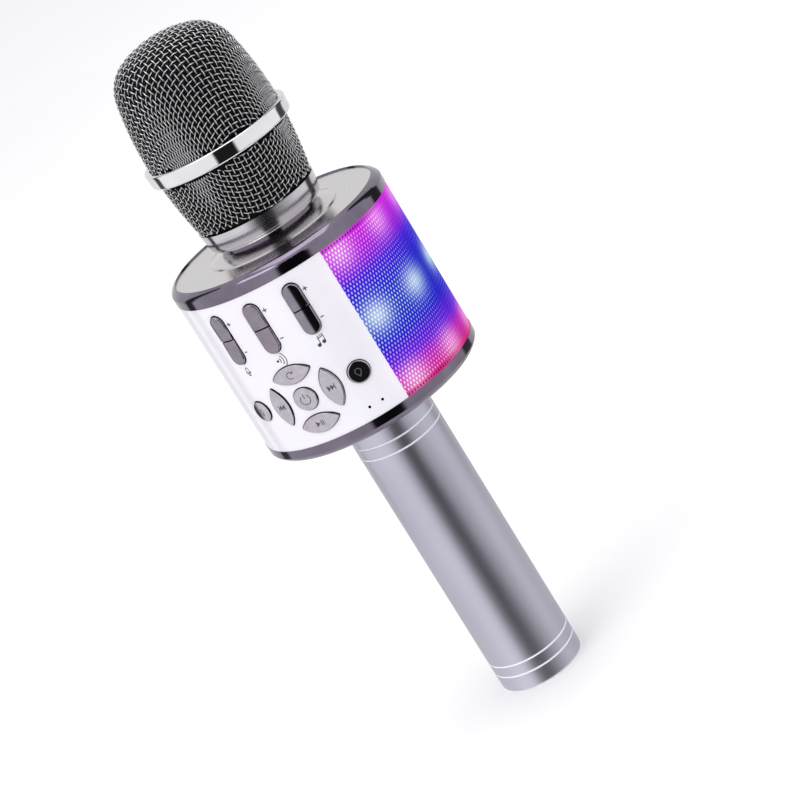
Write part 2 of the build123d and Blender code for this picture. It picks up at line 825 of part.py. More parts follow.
with BuildPart() as neck:
    with BuildSketch(Plane.XZ):
        Polygon(
            (neck_bore, nut_foot),
            (neck_inner_radius, nut_foot),
            (neck_inner_radius, flange_top),
            (neck_radius, flange_top),
            (neck_radius, neck_top),
            (neck_bore, neck_top),
            align=None,
        )
    revolve(axis=Axis.Z)
finish(neck.part, "neck")

with BuildPart() as neck_nut:
    with BuildSketch(Plane.XY.offset(nut_foot)):
        RegularPolygon(neck_inner_radius + nut_wall, 6, major_radius=False)
        Circle(neck_inner_radius + fit_gap, mode=Mode.SUBTRACT)
    extrude(amount=nut_height)
finish(neck_nut.part, "neck_nut")

holder_top = neck_top + holder_lip
boot_radius = capsule_radius + boot_wall

with BuildPart() as capsule_holder:
    with BuildSketch(Plane.XZ):
        Polygon(
            (holder_bore, neck_top - holder_depth),
            (neck_bore - fit_gap, neck_top - holder_depth),
            (neck_bore - fit_gap, neck_top),
            (neck_radius - 2 * fit_gap, neck_top),
            (neck_radius - 2 * fit_gap, holder_top),
            (holder_bore, holder_top),
            align=None,
        )
    revolve(axis=Axis.Z)
finish(capsule_holder.part, "capsule_holder")

with BuildPart() as capsule_boot:
    with BuildSketch(Plane.XZ):
        Polygon(
            (holder_bore, holder_top),
            (boot_radius, holder_top),
            (boot_radius, holder_top + boot_height),
            (capsule_radius + fit_gap, holder_top + boot_height),
            (capsule_radius + fit_gap, holder_top + boot_wall),
            (holder_bore, holder_top + boot_wall),
            align=None,
        )
    revolve(axis=Axis.Z)
finish(capsule_boot.part, "capsule_boot")

with BuildPart() as capsule:
    with BuildSketch(Plane.XY.offset(holder_top + boot_wall)):
        Circle(capsule_radius)
    extrude(amount=capsule_height)
    fillet(capsule.edges().sort_by(Axis.Z)[-1], boot_wall)
finish(capsule.part, "capsule")

# ------------------------------------------------------------------ screw-on head
collar_foot = flange_top + collar_lift
collar_top = collar_foot + collar_height
belt_foot = collar_top + basket_height
belt_top = belt_foot + belt_height
seat_height = belt_top - belt_seat

with BuildPart() as grille_collar:
    waist = (collar_waist_radius, collar_foot + collar_waist_height)
    foot_edge = (collar_foot_radius, collar_foot)
    collar_mouth = basket_foot_radius - 2 * mesh_wall
    with BuildSketch(Plane.XZ):
        with BuildLine():
            Polyline(
                waist,
                (collar_top_radius, collar_top),
                (collar_mouth, collar_top),
                (collar_mouth, collar_top - mesh_wall),
                (neck_radius + thread_gap, collar_top - 2 * mesh_wall),
                (neck_radius + thread_gap, collar_foot),
                foot_edge,
            )
            ThreePointArc(foot_edge, bulged_middle(foot_edge, waist, collar_waist_height / 8), waist)
        make_face()
    revolve(axis=Axis.Z)
finish(grille_collar.part, "grille_collar")

seat_radius = basket_top_radius + fit_gap


def basket_middle(inset):
    """Middle point of the lower basket's swelling side, moved inward by an inset."""
    foot = (basket_foot_radius - inset, collar_top)
    top = (basket_top_radius - inset, belt_foot)
    return bulged_middle(foot, top, basket_swell)


with BuildPart() as grille_basket:
    with BuildSketch(Plane.XZ):
        with BuildLine():
            ThreePointArc(
                (basket_foot_radius, collar_top), basket_middle(0), (basket_top_radius, belt_foot)
            )
            Polyline(
                (basket_top_radius, belt_foot),
                (basket_top_radius, seat_height),
                (basket_top_radius - mesh_wall, seat_height),
                (basket_top_radius - mesh_wall, belt_foot),
            )
            ThreePointArc(
                (basket_top_radius - mesh_wall, belt_foot),
                basket_middle(mesh_wall),
                (basket_foot_radius - mesh_wall, collar_top),
            )
            Line((basket_foot_radius - mesh_wall, collar_top), (basket_foot_radius, collar_top))
        make_face()
    revolve(axis=Axis.Z)
finish(grille_basket.part, "grille_basket")

with BuildPart() as grille_belt:
    with BuildSketch(Plane.XZ):
        Polygon(
            (seat_radius, belt_foot),
            (belt_foot_radius, belt_foot),
            (belt_top_radius, belt_top),
            (dome_radius + fit_gap, belt_top),
            (dome_radius + fit_gap, seat_height),
            (seat_radius, seat_height),
            align=None,
        )
        fillet(vertices().sort_by(Axis.X)[-2:], belt_edge)
    revolve(axis=Axis.Z)
finish(grille_belt.part, "grille_belt")

# The dome's side is a long arc, its shoulder a short one and its crown a third,
# each tangent to the next; the crown's radius makes it meet the axis level.
side_angle = degrees(asin(dome_side_height / dome_side_radius))
side_centre = (dome_radius - dome_side_radius, belt_top)
shoulder_reach = dome_side_radius - dome_shoulder_radius
shoulder_centre = (
    side_centre[0] + shoulder_reach * cos(radians(side_angle)),
    side_centre[1] + shoulder_reach * sin(radians(side_angle)),
)
dome_top = belt_top + dome_height
shoulder_drop = dome_top - shoulder_centre[1]
crown_radius = (shoulder_centre[0] ** 2 + shoulder_drop**2 - dome_shoulder_radius**2) / (
    2 * (shoulder_drop - dome_shoulder_radius)
)
crown_centre = (0, dome_top - crown_radius)
crown_angle = degrees(atan2(shoulder_centre[1] - crown_centre[1], shoulder_centre[0]))


def draw_dome(inset, foot):
    """Half section of the dome's inside or outside, down to a foot height."""
    with BuildSketch(Plane.XZ) as half:
        with BuildLine():
            CenterArc(side_centre, dome_side_radius - inset, 0, side_angle)
            CenterArc(
                shoulder_centre, dome_shoulder_radius - inset, side_angle, crown_angle - side_angle
            )
            CenterArc(crown_centre, crown_radius - inset, crown_angle, 90 - crown_angle)
            Polyline(
                (0, dome_top - inset),
                (0, foot),
                (dome_radius - inset, foot),
                (dome_radius - inset, belt_top),
            )
        make_face()
    return half.sketch


with BuildPart() as grille_dome:
    with BuildSketch(Plane.XZ) as dome_section:
        add(draw_dome(0, seat_height))
        add(draw_dome(mesh_wall, seat_height - 1), mode=Mode.SUBTRACT)
    revolve(axis=Axis.Z)
finish(grille_dome.part, "grille_dome")

foam_inset = mesh_wall + foam_gap
foam_foot = collar_top + foam_foot_gap
foam_belt = belt_foot - foam_gap
foam_top_radius = basket_top_radius - foam_inset

with BuildPart() as windscreen:
    with BuildSketch(Plane.XZ):
        with BuildLine():
            ThreePointArc(
                (basket_foot_radius - foam_inset, collar_top),
                basket_middle(foam_inset),
                (foam_top_radius, belt_foot),
            )
            Polyline(
                (foam_top_radius, belt_foot),
                (foam_top_radius, seat_height),
                (0, seat_height),
                (0, collar_top),
                (basket_foot_radius - foam_inset, collar_top),
            )
        make_face()
        add(draw_dome(foam_inset + dome_radius - basket_top_radius, seat_height))
        with Locations((0, collar_top)):
            Rectangle(4 * dome_radius, 2 * foam_foot_gap, mode=Mode.SUBTRACT)
        add(draw_dome(foam_inset + foam_wall, foam_foot - 2 * foam_foot_gap), mode=Mode.SUBTRACT)
    revolve(axis=Axis.Z)
finish(windscreen.part, "windscreen")
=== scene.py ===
import math
import bpy
import bmesh
import numpy
from mathutils import Matrix, Vector, noise


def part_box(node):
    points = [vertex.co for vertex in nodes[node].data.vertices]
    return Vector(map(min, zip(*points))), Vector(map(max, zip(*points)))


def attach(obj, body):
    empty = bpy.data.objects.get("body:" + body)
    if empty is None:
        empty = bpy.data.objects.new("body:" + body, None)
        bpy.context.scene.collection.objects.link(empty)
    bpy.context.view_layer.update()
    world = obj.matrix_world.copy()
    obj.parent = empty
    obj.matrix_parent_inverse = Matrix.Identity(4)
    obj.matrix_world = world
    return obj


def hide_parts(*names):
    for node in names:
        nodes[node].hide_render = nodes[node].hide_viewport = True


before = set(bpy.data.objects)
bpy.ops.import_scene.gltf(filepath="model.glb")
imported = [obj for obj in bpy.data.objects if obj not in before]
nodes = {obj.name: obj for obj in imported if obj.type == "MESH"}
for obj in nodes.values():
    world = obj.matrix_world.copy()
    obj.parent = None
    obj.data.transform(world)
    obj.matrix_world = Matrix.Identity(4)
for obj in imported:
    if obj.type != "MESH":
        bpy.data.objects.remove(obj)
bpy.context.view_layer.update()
mm = 0.001
print("frame loaded:", len(nodes), "nodes")


def toLinear(hexColour):
    # sRGB hex to the linear colour that shaders work in
    parts = [int(hexColour[i:i + 2], 16) / 255 for i in (1, 3, 5)]
    return tuple(p / 12.92 if p <= 0.04045 else ((p + 0.055) / 1.055) ** 2.4 for p in parts) + (1.0,)


def addNode(tree, kind, values=None, links=None, **settings):
    new = tree.nodes.new(kind)
    for key, value in settings.items():
        setattr(new, key, value)
    for key, value in (values or {}).items():
        new.inputs[key].default_value = value
    for key, socket in (links or {}).items():
        tree.links.new(socket, new.inputs[key])
    return new


def newMaterial(name, colour, roughness, metallic=0.0, coat=0.0, ior=None):
    material = bpy.data.materials.new(name)
    material.use_nodes = True
    tree = material.node_tree
    shader = tree.nodes["Principled BSDF"]
    shader.inputs["Base Color"].default_value = toLinear(colour)
    shader.inputs["Roughness"].default_value = roughness
    shader.inputs["Metallic"].default_value = metallic
    shader.inputs["Coat Weight"].default_value = coat
    shader.inputs["Coat Roughness"].default_value = 0.05
    if ior:
        shader.inputs["IOR"].default_value = ior
    where = addNode(tree, "ShaderNodeTexCoord").outputs["Object"]
    return material, tree, shader, where


def mathNode(tree, operation, first, second=None):
    new = addNode(tree, "ShaderNodeMath", operation=operation)
    for slot, value in enumerate((first, second)):
        if value is None:
            continue
        if isinstance(value, (int, float)):
            new.inputs[slot].default_value = value
        else:
            tree.links.new(value, new.inputs[slot])
    return new.outputs[0]


def noiseAt(tree, where, grain, detail=2.0, stretch=(1, 1, 1)):
    # grain is the size in metres of one blotch or grit
    scaled = addNode(tree, "ShaderNodeMapping", {"Scale": stretch}, {"Vector": where})
    settings = {"Scale": 1 / grain, "Detail": detail}
    return addNode(tree, "ShaderNodeTexNoise", settings, {"Vector": scaled.outputs[0]}).outputs["Fac"]


def varyColour(tree, shader, factor, first, second, low=0.3, high=0.7):
    ramp = addNode(tree, "ShaderNodeValToRGB", links={"Fac": factor})
    ramp.color_ramp.elements[0].position = low
    ramp.color_ramp.elements[0].color = toLinear(first)
    ramp.color_ramp.elements[1].position = high
    ramp.color_ramp.elements[1].color = toLinear(second)
    tree.links.new(ramp.outputs["Color"], shader.inputs["Base Color"])
    return ramp


def varyRoughness(tree, shader, factor, low, high):
    spread = addNode(tree, "ShaderNodeMapRange", {"To Min": low, "To Max": high}, {"Value": factor})
    tree.links.new(spread.outputs[0], shader.inputs["Roughness"])


def addBump(tree, shader, height, depth, strength=1.0):
    # depth in metres
    bump = addNode(tree, "ShaderNodeBump", {"Strength": strength, "Distance": depth}, {"Height": height})
    tree.links.new(bump.outputs[0], shader.inputs["Normal"])


def radiusAt(tree, where):
    # distance from the microphone's axis, in metres
    flat = addNode(tree, "ShaderNodeVectorMath", {1: (1, 1, 0)}, {0: where}, operation="MULTIPLY")
    length = addNode(tree, "ShaderNodeVectorMath", links={0: flat.outputs[0]}, operation="LENGTH")
    return length.outputs["Value"]


def heightAt(tree, where):
    return addNode(tree, "ShaderNodeSeparateXYZ", links={0: where}).outputs["Z"]


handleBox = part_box("handle_tube")
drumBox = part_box("speaker_grille")
handleRadius = handleBox[1][0]
drumRadius = drumBox[1][0]
drumMiddle = (drumBox[0][2] + drumBox[1][2]) / 2

# Anodised aluminium, bead blasted: a soft lavender-grey sheen, with the four cut rings painted white and
# matt, a painted highlight for the light off their edges
anodised, tree, shader, where = newMaterial("anodisedAluminium", "#b5b3c4", 0.3, 1.0)
blast = noiseAt(tree, where, 0.35 * mm, 3.0)   # blasting grit is 0.1 mm, drawn at 0.35 mm so that it shows
cloud = noiseAt(tree, where, 60 * mm, 1.0)
tone = varyColour(tree, shader, cloud, "#c6c4d3", "#d0cedb").outputs["Color"]
inRing = mathNode(tree, "LESS_THAN", radiusAt(tree, where), handleRadius - 0.12 * mm)   # below the outside
# painted highlight: the grooves are painted matt white in place of the bright reflection off their cut edges
ringPaintedHighlight = addNode(tree, "ShaderNodeMix", {7: toLinear("#fbfaff")}, {0: inRing, 6: tone}, data_type="RGBA")
tree.links.new(ringPaintedHighlight.outputs[2], shader.inputs["Base Color"])
tree.links.new(mathNode(tree, "SUBTRACT", 1.0, inRing), shader.inputs["Metallic"])
varyRoughness(tree, shader, blast, 0.28, 0.38)
addBump(tree, shader, blast, 0.012 * mm, 0.35)

# Gunmetal chrome on ABS: a dark mirror with the faint ripple of a plated moulding
gunmetal, tree, shader, where = newMaterial("gunmetalChrome", "#82798a", 0.07, 1.0)
ripple = noiseAt(tree, where, 9 * mm, 2.0)
varyColour(tree, shader, ripple, "#766d7d", "#847b8b")
varyRoughness(tree, shader, noiseAt(tree, where, 2.5 * mm, 3.0), 0.05, 0.12)
addBump(tree, shader, ripple, 0.02 * mm, 0.25)

# Bright chrome, polished: nearly white, mirror sharp
brightChrome, tree, shader, where = newMaterial("brightChrome", "#ececee", 0.05, 1.0)
ripple = noiseAt(tree, where, 12 * mm, 2.0)
varyColour(tree, shader, ripple, "#e6e6e9", "#f2f2f3")
varyRoughness(tree, shader, noiseAt(tree, where, 2 * mm, 3.0), 0.03, 0.08)
addBump(tree, shader, ripple, 0.015 * mm, 0.2)

# Satin chrome, turned on a lathe: soft bands of light down the collar, with fine rings round it
satinChrome, tree, shader, where = newMaterial("satinChrome", "#cfccd2", 0.12, 1.0)
turning = noiseAt(tree, where, 0.5 * mm, 2.0, (0.02, 0.02, 1))
varyColour(tree, shader, turning, "#c8c5cc", "#d8d5da")
varyRoughness(tree, shader, turning, 0.09, 0.15)
addBump(tree, shader, turning, 0.004 * mm, 0.2)

# Galvanised steel wire, drawn and woven: a painted highlight along the top of each wire and painted shade
# where it dips under its neighbour, with random zinc dulling mixed in
steelWire, tree, shader, where = newMaterial("galvanisedWire", "#cdccd0", 0.26, 1.0)
zinc = noiseAt(tree, where, 1.6 * mm, 3.0)
crown = addNode(tree, "ShaderNodeAttribute", attribute_name="crown").outputs["Fac"]
# painted highlight on the crowns and painted shade in the dips, plus random zinc tone
crownShadeAndZinc = mathNode(tree, "ADD", crown, mathNode(tree, "MULTIPLY", mathNode(tree, "SUBTRACT", zinc, 0.5), 0.3))
varyColour(tree, shader, crownShadeAndZinc, "#232226", "#efeef1", 0.42, 0.92)
varyRoughness(tree, shader, zinc, 0.2, 0.36)
addBump(tree, shader, noiseAt(tree, where, 0.3 * mm, 1.0), 0.02 * mm, 0.3)

# Open-cell polyurethane foam: matt black with small pores
foamBlack, tree, shader, where = newMaterial("openCellFoam", "#0a0a0b", 0.95)
pores = addNode(tree, "ShaderNodeTexVoronoi", {"Scale": 1 / (0.9 * mm)}, {"Vector": where})
varyColour(tree, shader, pores.outputs["Distance"], "#040405", "#17171a", 0.1, 0.7)
shader.inputs["Specular IOR Level"].default_value = 0.15
addBump(tree, shader, pores.outputs["Distance"], 0.35 * mm, 0.8)

# Gloss white ABS, moulded: bright white, a very slight orange peel in its reflections
whiteAbs, tree, shader, where = newMaterial("glossWhiteAbs", "#f3f2f7", 0.16, 0.0, 0.3, 1.53)
peel = noiseAt(tree, where, 2.2 * mm, 2.0)
varyColour(tree, shader, noiseAt(tree, where, 25 * mm), "#e6e3eb", "#ebe8ef")
varyRoughness(tree, shader, peel, 0.13, 0.2)
addBump(tree, shader, peel, 0.006 * mm, 0.3)


def platedMaterial(name, first, second, edgeRadius):
    # Plated ABS, moulded: a lilac-grey mirror with painted shade over the rounded edge, standing for its dark
    # reflections; the edge starts edgeRadius from the drum's axis
    material, tree, shader, where = newMaterial(name, first, 0.1, 1.0)
    ripple = noiseAt(tree, where, 3 * mm, 2.0)
    tone = varyColour(tree, shader, ripple, first, second)
    reach = addNode(
        tree, "ShaderNodeMapRange", {"From Min": edgeRadius - 0.12 * mm, "From Max": edgeRadius + 0.05 * mm},
        {"Value": radiusAt(tree, where)},
    )
    # painted shade: near black on the sides below edgeRadius, the face keeps its own tone
    paintedEdgeShade = addNode(
        tree, "ShaderNodeMix", {6: toLinear("#1c191e")}, {0: reach.outputs[0], 7: tone.outputs["Color"]},
        data_type="RGBA",
    )
    tree.links.new(paintedEdgeShade.outputs[2], shader.inputs["Base Color"])
    varyRoughness(tree, shader, noiseAt(tree, where, 0.8 * mm, 3.0), 0.07, 0.13)
    addBump(tree, shader, ripple, 0.02 * mm, 0.3)
    return material


keyChrome = platedMaterial("platedKeys", "#8d8591", "#99919d", drumRadius + 0.42 * mm)
buttonChrome = platedMaterial("platedButtons", "#bdb6c0", "#cac4cd", drumRadius + 0.57 * mm)

# Spun satin silver: fine rings round the plate, which drag the light into a fan
spunSilver, tree, shader, where = newMaterial("spunSilver", "#dad7d7", 0.2, 1.0)
radius = radiusAt(tree, where)
ringPlace = addNode(tree, "ShaderNodeCombineXYZ", links={"X": radius})
ringSettings = {"Scale": 1 / (0.45 * mm), "Detail": 2.0}
rings = addNode(tree, "ShaderNodeTexNoise", ringSettings, {"Vector": ringPlace.outputs[0]}).outputs["Fac"]
varyColour(tree, shader, rings, "#d2cfcf", "#e2dfdf")
varyRoughness(tree, shader, rings, 0.14, 0.24)
addBump(tree, shader, rings, 0.008 * mm, 0.3)

# Black ABS, spark-eroded moulding: matt, fine grain, a little paler on the high points
blackAbs, tree, shader, where = newMaterial("grainedBlackAbs", "#161618", 0.55, ior=1.53)
grain = noiseAt(tree, where, 0.4 * mm, 3.0)
varyColour(tree, shader, grain, "#111113", "#202023")
varyRoughness(tree, shader, grain, 0.45, 0.65)
addBump(tree, shader, grain, 0.03 * mm, 0.5)

# Stamped bright steel, for sockets, screws and the capsule's can: rolled streaks one way
stampedSteel, tree, shader, where = newMaterial("stampedSteel", "#b9babd", 0.3, 1.0)
rolled = noiseAt(tree, where, 0.6 * mm, 3.0, (1, 1, 0.1))
varyColour(tree, shader, rolled, "#a6a7ab", "#c9cacd")
varyRoughness(tree, shader, rolled, 0.24, 0.4)
addBump(tree, shader, rolled, 0.01 * mm, 0.4)

# Natural rubber, moulded: dead black with a dusty bloom
blackRubber, tree, shader, where = newMaterial("mouldedRubber", "#121212", 0.8, ior=1.52)
bloom = noiseAt(tree, where, 1.5 * mm, 4.0)
varyColour(tree, shader, bloom, "#0d0d0d", "#1d1d1e")
addBump(tree, shader, bloom, 0.02 * mm, 0.4)

# Green solder resist on glass-fibre board: the weave shows faintly through the gloss
circuitBoard, tree, shader, where = newMaterial("solderResistBoard", "#0f5a30", 0.3, ior=1.5)
weave = addNode(tree, "ShaderNodeTexChecker", {"Scale": 1 / (0.8 * mm)}, {"Vector": where})
varyColour(tree, shader, weave.outputs["Fac"], "#0c4f29", "#146638", 0.0, 1.0)
addBump(tree, shader, weave.outputs["Fac"], 0.004 * mm, 0.3)

# Shrink-wrapped cell: gloss PVC sleeve with slight wrinkles
cellWrap, tree, shader, where = newMaterial("shrinkWrap", "#1f4f9c", 0.25, ior=1.54)
wrinkle = noiseAt(tree, where, 3 * mm, 2.0, (1, 1, 0.3))
varyColour(tree, shader, wrinkle, "#1b478f", "#2558a8")
addBump(tree, shader, wrinkle, 0.05 * mm, 0.3)

# Pressed paper of the loudspeaker's cone: fibrous, matt
conePaper, tree, shader, where = newMaterial("pressedPaper", "#1c1b1a", 0.85)
fibre = noiseAt(tree, where, 0.5 * mm, 5.0)
varyColour(tree, shader, fibre, "#131211", "#2a2826")
addBump(tree, shader, fibre, 0.05 * mm, 0.6)

# Screen-printed ink: dark grey, thin, slightly uneven
printInk, tree, shader, where = newMaterial("screenPrintInk", "#3c3a40", 0.45)
speckle = noiseAt(tree, where, 0.3 * mm, 2.0)
varyColour(tree, shader, speckle, "#343238", "#46434a")

# Laser etching in the plated keys: dull dark lines
etched, tree, shader, where = newMaterial("laserEtch", "#5d5762", 0.5, 0.6)
burn = noiseAt(tree, where, 0.2 * mm, 2.0)
varyColour(tree, shader, burn, "#4e4853", "#6f6974")

# Smoked acrylic of the indicator lenses
smokedLens, tree, shader, where = newMaterial("smokedAcrylic", "#08080a", 0.12, ior=1.49)
haze = noiseAt(tree, where, 0.5 * mm)
varyColour(tree, shader, haze, "#050506", "#121216")
print("materials made")

lights = dict(
    columns=10,            # round the grille
    rowSpacing=25.0 * mm,
    firstColumn=36.1 * mm,  # girth from the panel's middle to the first column
    glow=5.0 * mm,         # how far each lamp's hot spot spreads
    whiteFrom=math.radians(-82),  # round from the panel's middle: the last coloured lamp on the left
    whiteTo=math.radians(-60),    # the first white one
    shadeFrom=17 * mm,     # the loudspeaker shades the sheet this far from its middle
    shadeTo=24 * mm,       # and no further
    dimmest=0.25,
    brightest=0.9,
)


def angleFromPanel(tree, parts):
    # round the drum from the panel's middle, positive to its right
    backwards = mathNode(tree, "MULTIPLY", parts.outputs["Y"], -1.0)
    return mathNode(tree, "ARCTAN2", parts.outputs["X"], backwards)


def glowField(tree, where):
    # 1 at each lamp, falling to 0 between them; girth wraps round the drum
    parts = addNode(tree, "ShaderNodeSeparateXYZ", links={0: where})
    angle = angleFromPanel(tree, parts)
    girth = mathNode(tree, "MULTIPLY", angle, drumRadius)
    step = (2 * math.pi * drumRadius - 2 * lights["firstColumn"]) / (lights["columns"] - 1)
    fromBack = mathNode(tree, "ABSOLUTE", girth)
    across = mathNode(tree, "SUBTRACT", fromBack, lights["firstColumn"])
    nearColumn = mathNode(tree, "PINGPONG", across, step / 2)
    up = mathNode(tree, "SUBTRACT", parts.outputs["Z"], drumMiddle)
    nearRow = mathNode(tree, "PINGPONG", up, lights["rowSpacing"] / 2)
    acrossSquared = mathNode(tree, "POWER", nearColumn, 2.0)
    squares = mathNode(tree, "ADD", acrossSquared, mathNode(tree, "POWER", nearRow, 2.0))
    fall = mathNode(tree, "DIVIDE", squares, -lights["glow"] ** 2)
    return mathNode(tree, "EXPONENT", fall)


def lampColours(tree, where, stops):
    # colours up the drum, from its foot at 0 to its top at 1
    limits = {"From Min": drumBox[0][2], "From Max": drumBox[1][2]}
    share = addNode(tree, "ShaderNodeMapRange", limits, {"Value": heightAt(tree, where)})
    ramp = addNode(tree, "ShaderNodeValToRGB", links={"Fac": share.outputs[0]})
    points = ramp.color_ramp.elements
    while len(points) < len(stops):
        points.new(0.5)
    for point, (place, colour) in zip(points, stops):
        point.position = place
        point.color = toLinear(colour)
    return ramp.outputs["Color"]


def washedEnd(tree, where):
    # 1 beside the panel's left edge, where the lamps are white, and 0 a little further round
    parts = addNode(tree, "ShaderNodeSeparateXYZ", links={0: where})
    limits = {"From Min": lights["whiteFrom"], "From Max": lights["whiteTo"]}
    near = addNode(tree, "ShaderNodeMapRange", limits, {"Value": angleFromPanel(tree, parts)})
    leftSide = mathNode(tree, "LESS_THAN", parts.outputs["X"], 0.0)
    return mathNode(tree, "MULTIPLY", near.outputs[0], leftSide)


def washOut(tree, where, colour, white):
    # colour fades to white at the washed end
    return addNode(
        tree, "ShaderNodeMix", {7: toLinear(white)}, {0: washedEnd(tree, where), 6: colour}, data_type="RGBA"
    ).outputs[2]


diffuserStops = [
    (0.0, "#ffa0d4"), (0.1, "#f790ee"), (0.22, "#b078ff"), (0.36, "#a4bcff"), (0.5, "#cdeaff"),
    (0.64, "#b4c4ff"), (0.76, "#c490ff"), (0.88, "#f088ff"), (1.0, "#ff8cf4"),
]
sheetStops = [
    (0.0, "#d8187c"), (0.1, "#c812b4"), (0.2, "#6204dc"), (0.32, "#1604cc"), (0.48, "#0424c4"),
    (0.62, "#0c08d0"), (0.74, "#3c02dc"), (0.86, "#aa0ae0"), (1.0, "#d410e4"),
]

# Opal acrylic behind the grille, lit from inside: paler and brighter over each lamp
litDiffuser, tree, shader, where = newMaterial("opalAcrylic", "#e8e6f2", 0.4, ior=1.49)
glow = glowField(tree, where)
tint = lampColours(tree, where, diffuserStops)
bright = addNode(tree, "ShaderNodeMix", {7: (1, 1, 1, 1)}, {0: glow, 6: tint}, data_type="RGBA")
tree.links.new(washOut(tree, where, bright.outputs[2], "#fbf9fd"), shader.inputs["Emission Color"])
shader.inputs["Emission Strength"].default_value = lights["brightest"]
shader.inputs["Base Color"].default_value = toLinear("#3a3842")

# Perforated steel, lacquered: painted light, the sheet glows in the lamps' colour and goes pale over each
# lamp
perforated, tree, shader, where = newMaterial("perforatedSteel", "#1a1430", 0.45)
glow = glowField(tree, where)
deep = lampColours(tree, where, sheetStops)
pale = lampColours(tree, where, diffuserStops)
half = mathNode(tree, "MULTIPLY", glow, 0.8)
paintedSheetGlow = addNode(tree, "ShaderNodeMix", links={0: half, 6: deep, 7: pale}, data_type="RGBA")
tree.links.new(washOut(tree, where, paintedSheetGlow.outputs[2], "#ebe8f2"), shader.inputs["Emission Color"])
shader.inputs["Specular IOR Level"].default_value = 0.15
parts = addNode(tree, "ShaderNodeSeparateXYZ", links={0: where})
rise = mathNode(tree, "SUBTRACT", parts.outputs["Z"], drumMiddle)
sidewaysSquared = mathNode(tree, "POWER", parts.outputs["X"], 2.0)
squares = mathNode(tree, "ADD", sidewaysSquared, mathNode(tree, "POWER", rise, 2.0))
fromMiddle = mathNode(tree, "SQRT", squares)
limits = {"From Min": lights["shadeFrom"], "From Max": lights["shadeTo"]}
beyond = addNode(tree, "ShaderNodeMapRange", limits, {"Value": fromMiddle}).outputs[0]
front = mathNode(tree, "LESS_THAN", parts.outputs["Y"], 0.0)
lit = mathNode(tree, "MAXIMUM", beyond, front)   # no lamps stand in front of the loudspeaker, at the back
limits = {"To Min": lights["dimmest"], "To Max": lights["brightest"]}
strength = addNode(tree, "ShaderNodeMapRange", limits, {"Value": lit})
tree.links.new(strength.outputs[0], shader.inputs["Emission Strength"])
lacquer = noiseAt(tree, where, 1.2 * mm)
varyColour(tree, shader, lacquer, "#05040c", "#0a0816")
addBump(tree, shader, lacquer, 0.01 * mm, 0.3)

# Phosphor face of the lamps
lampFace, tree, shader, where = newMaterial("lampPhosphor", "#f0e9b8", 0.3)
phosphor = noiseAt(tree, where, 0.6 * mm)
varyColour(tree, shader, phosphor, "#e6dda4", "#f6f1cf")

finishes = [
    (anodised, "handle_tube"),
    (gunmetal, "bottom_bezel top_bezel neck"),
    (spunSilver, "top_plate neck_flange"),
    (brightChrome, "grille_belt"),
    (satinChrome, "grille_collar"),
    (keyChrome, "mic_key reverb_key music_key"),
    (buttonChrome, "power_button mode_button play_button previous_button next_button"),
    (buttonChrome, "voice_button light_button"),
    (whiteAbs, "control_panel"),
    (blackAbs, "end_cap audio_jack battery_cradle bottom_plate chassis"),
    (blackAbs, "board_components neck_nut capsule_holder"),
    (stampedSteel, "charge_socket card_slot base_screws speaker_frame speaker_magnet"),
    (stampedSteel, "speaker_screws key_pins dome_switches capsule"),
    (blackRubber, "speaker_surround capsule_boot"),
    (conePaper, "speaker_cone"),
    (cellWrap, "battery_cell"),
    (circuitBoard, "port_board main_board led_strip key_circuit"),
    (litDiffuser, "light_diffuser"),
    (lampFace, "leds"),
    (smokedLens, "indicator_lenses"),
]
for material, names in finishes:
    for nodeName in names.split():
        for materialSlot in nodes[nodeName].material_slots:
            materialSlot.material = material
print("CAD pieces painted")


def newPiece(name, mesh, material, body, smooth=True):
    mesh.name = name
    piece = bpy.data.objects.new(name, mesh)
    bpy.context.scene.collection.objects.link(piece)
    mesh.materials.clear()
    mesh.materials.append(material)
    for polygon in mesh.polygons:
        polygon.use_smooth = smooth
    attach(piece, body)
    return piece


def outerSide(nodeName):
    # the outward-facing side of a turned CAD node, as (radius, height) from its foot up
    spots = set()
    for vertex in nodes[nodeName].data.vertices:
        if vertex.normal.x * vertex.co.x + vertex.normal.y * vertex.co.y > 0:
            spots.add((round(math.hypot(vertex.co.x, vertex.co.y), 6), round(vertex.co.z, 6)))
    widest = {}
    for radius, height in spots:
        widest[height] = max(radius, widest.get(height, 0))
    return [(widest[height], height) for height in sorted(widest)]


class Wall:
    # a turned surface that wire cloth is pressed over, measured by the distance along it from the pole
    def __init__(self, profile, press):
        self.profile = profile
        self.along = [0.0]
        self.flat = [0.0]   # the radius that the cloth is draped at, a little wider than the real one
        self.fall = [0.0]   # and the height
        for (r0, z0), (r1, z1) in zip(profile, profile[1:]):
            step = math.hypot(r1 - r0, z1 - z0)
            turn = math.atan2(z0 - z1, r1 - r0) * press
            self.along.append(self.along[-1] + step)
            self.flat.append(self.flat[-1] + step * math.cos(turn))
            self.fall.append(self.fall[-1] - step * math.sin(turn))

    def span(self, distance):
        for i in range(1, len(self.along)):
            if distance <= self.along[i] or i == len(self.along) - 1:
                length = self.along[i] - self.along[i - 1]
                return i, (distance - self.along[i - 1]) / length

    def cloth(self, distance, angle):
        i, t = self.span(distance)
        r = self.flat[i - 1] + (self.flat[i] - self.flat[i - 1]) * t
        z = self.fall[i - 1] + (self.fall[i] - self.fall[i - 1]) * t
        return Vector((r * math.cos(angle), r * math.sin(angle), z))

    def real(self, distance, angle, proud):
        i, t = self.span(distance)
        (r0, z0), (r1, z1) = self.profile[i - 1], self.profile[i]
        length = math.hypot(r1 - r0, z1 - z0)
        out = ((z0 - z1) / length, (r1 - r0) / length)
        r = r0 + (r1 - r0) * t + out[0] * proud
        z = z0 + (z1 - z0) * t + out[1] * proud
        return Vector((r * math.cos(angle), r * math.sin(angle), z))


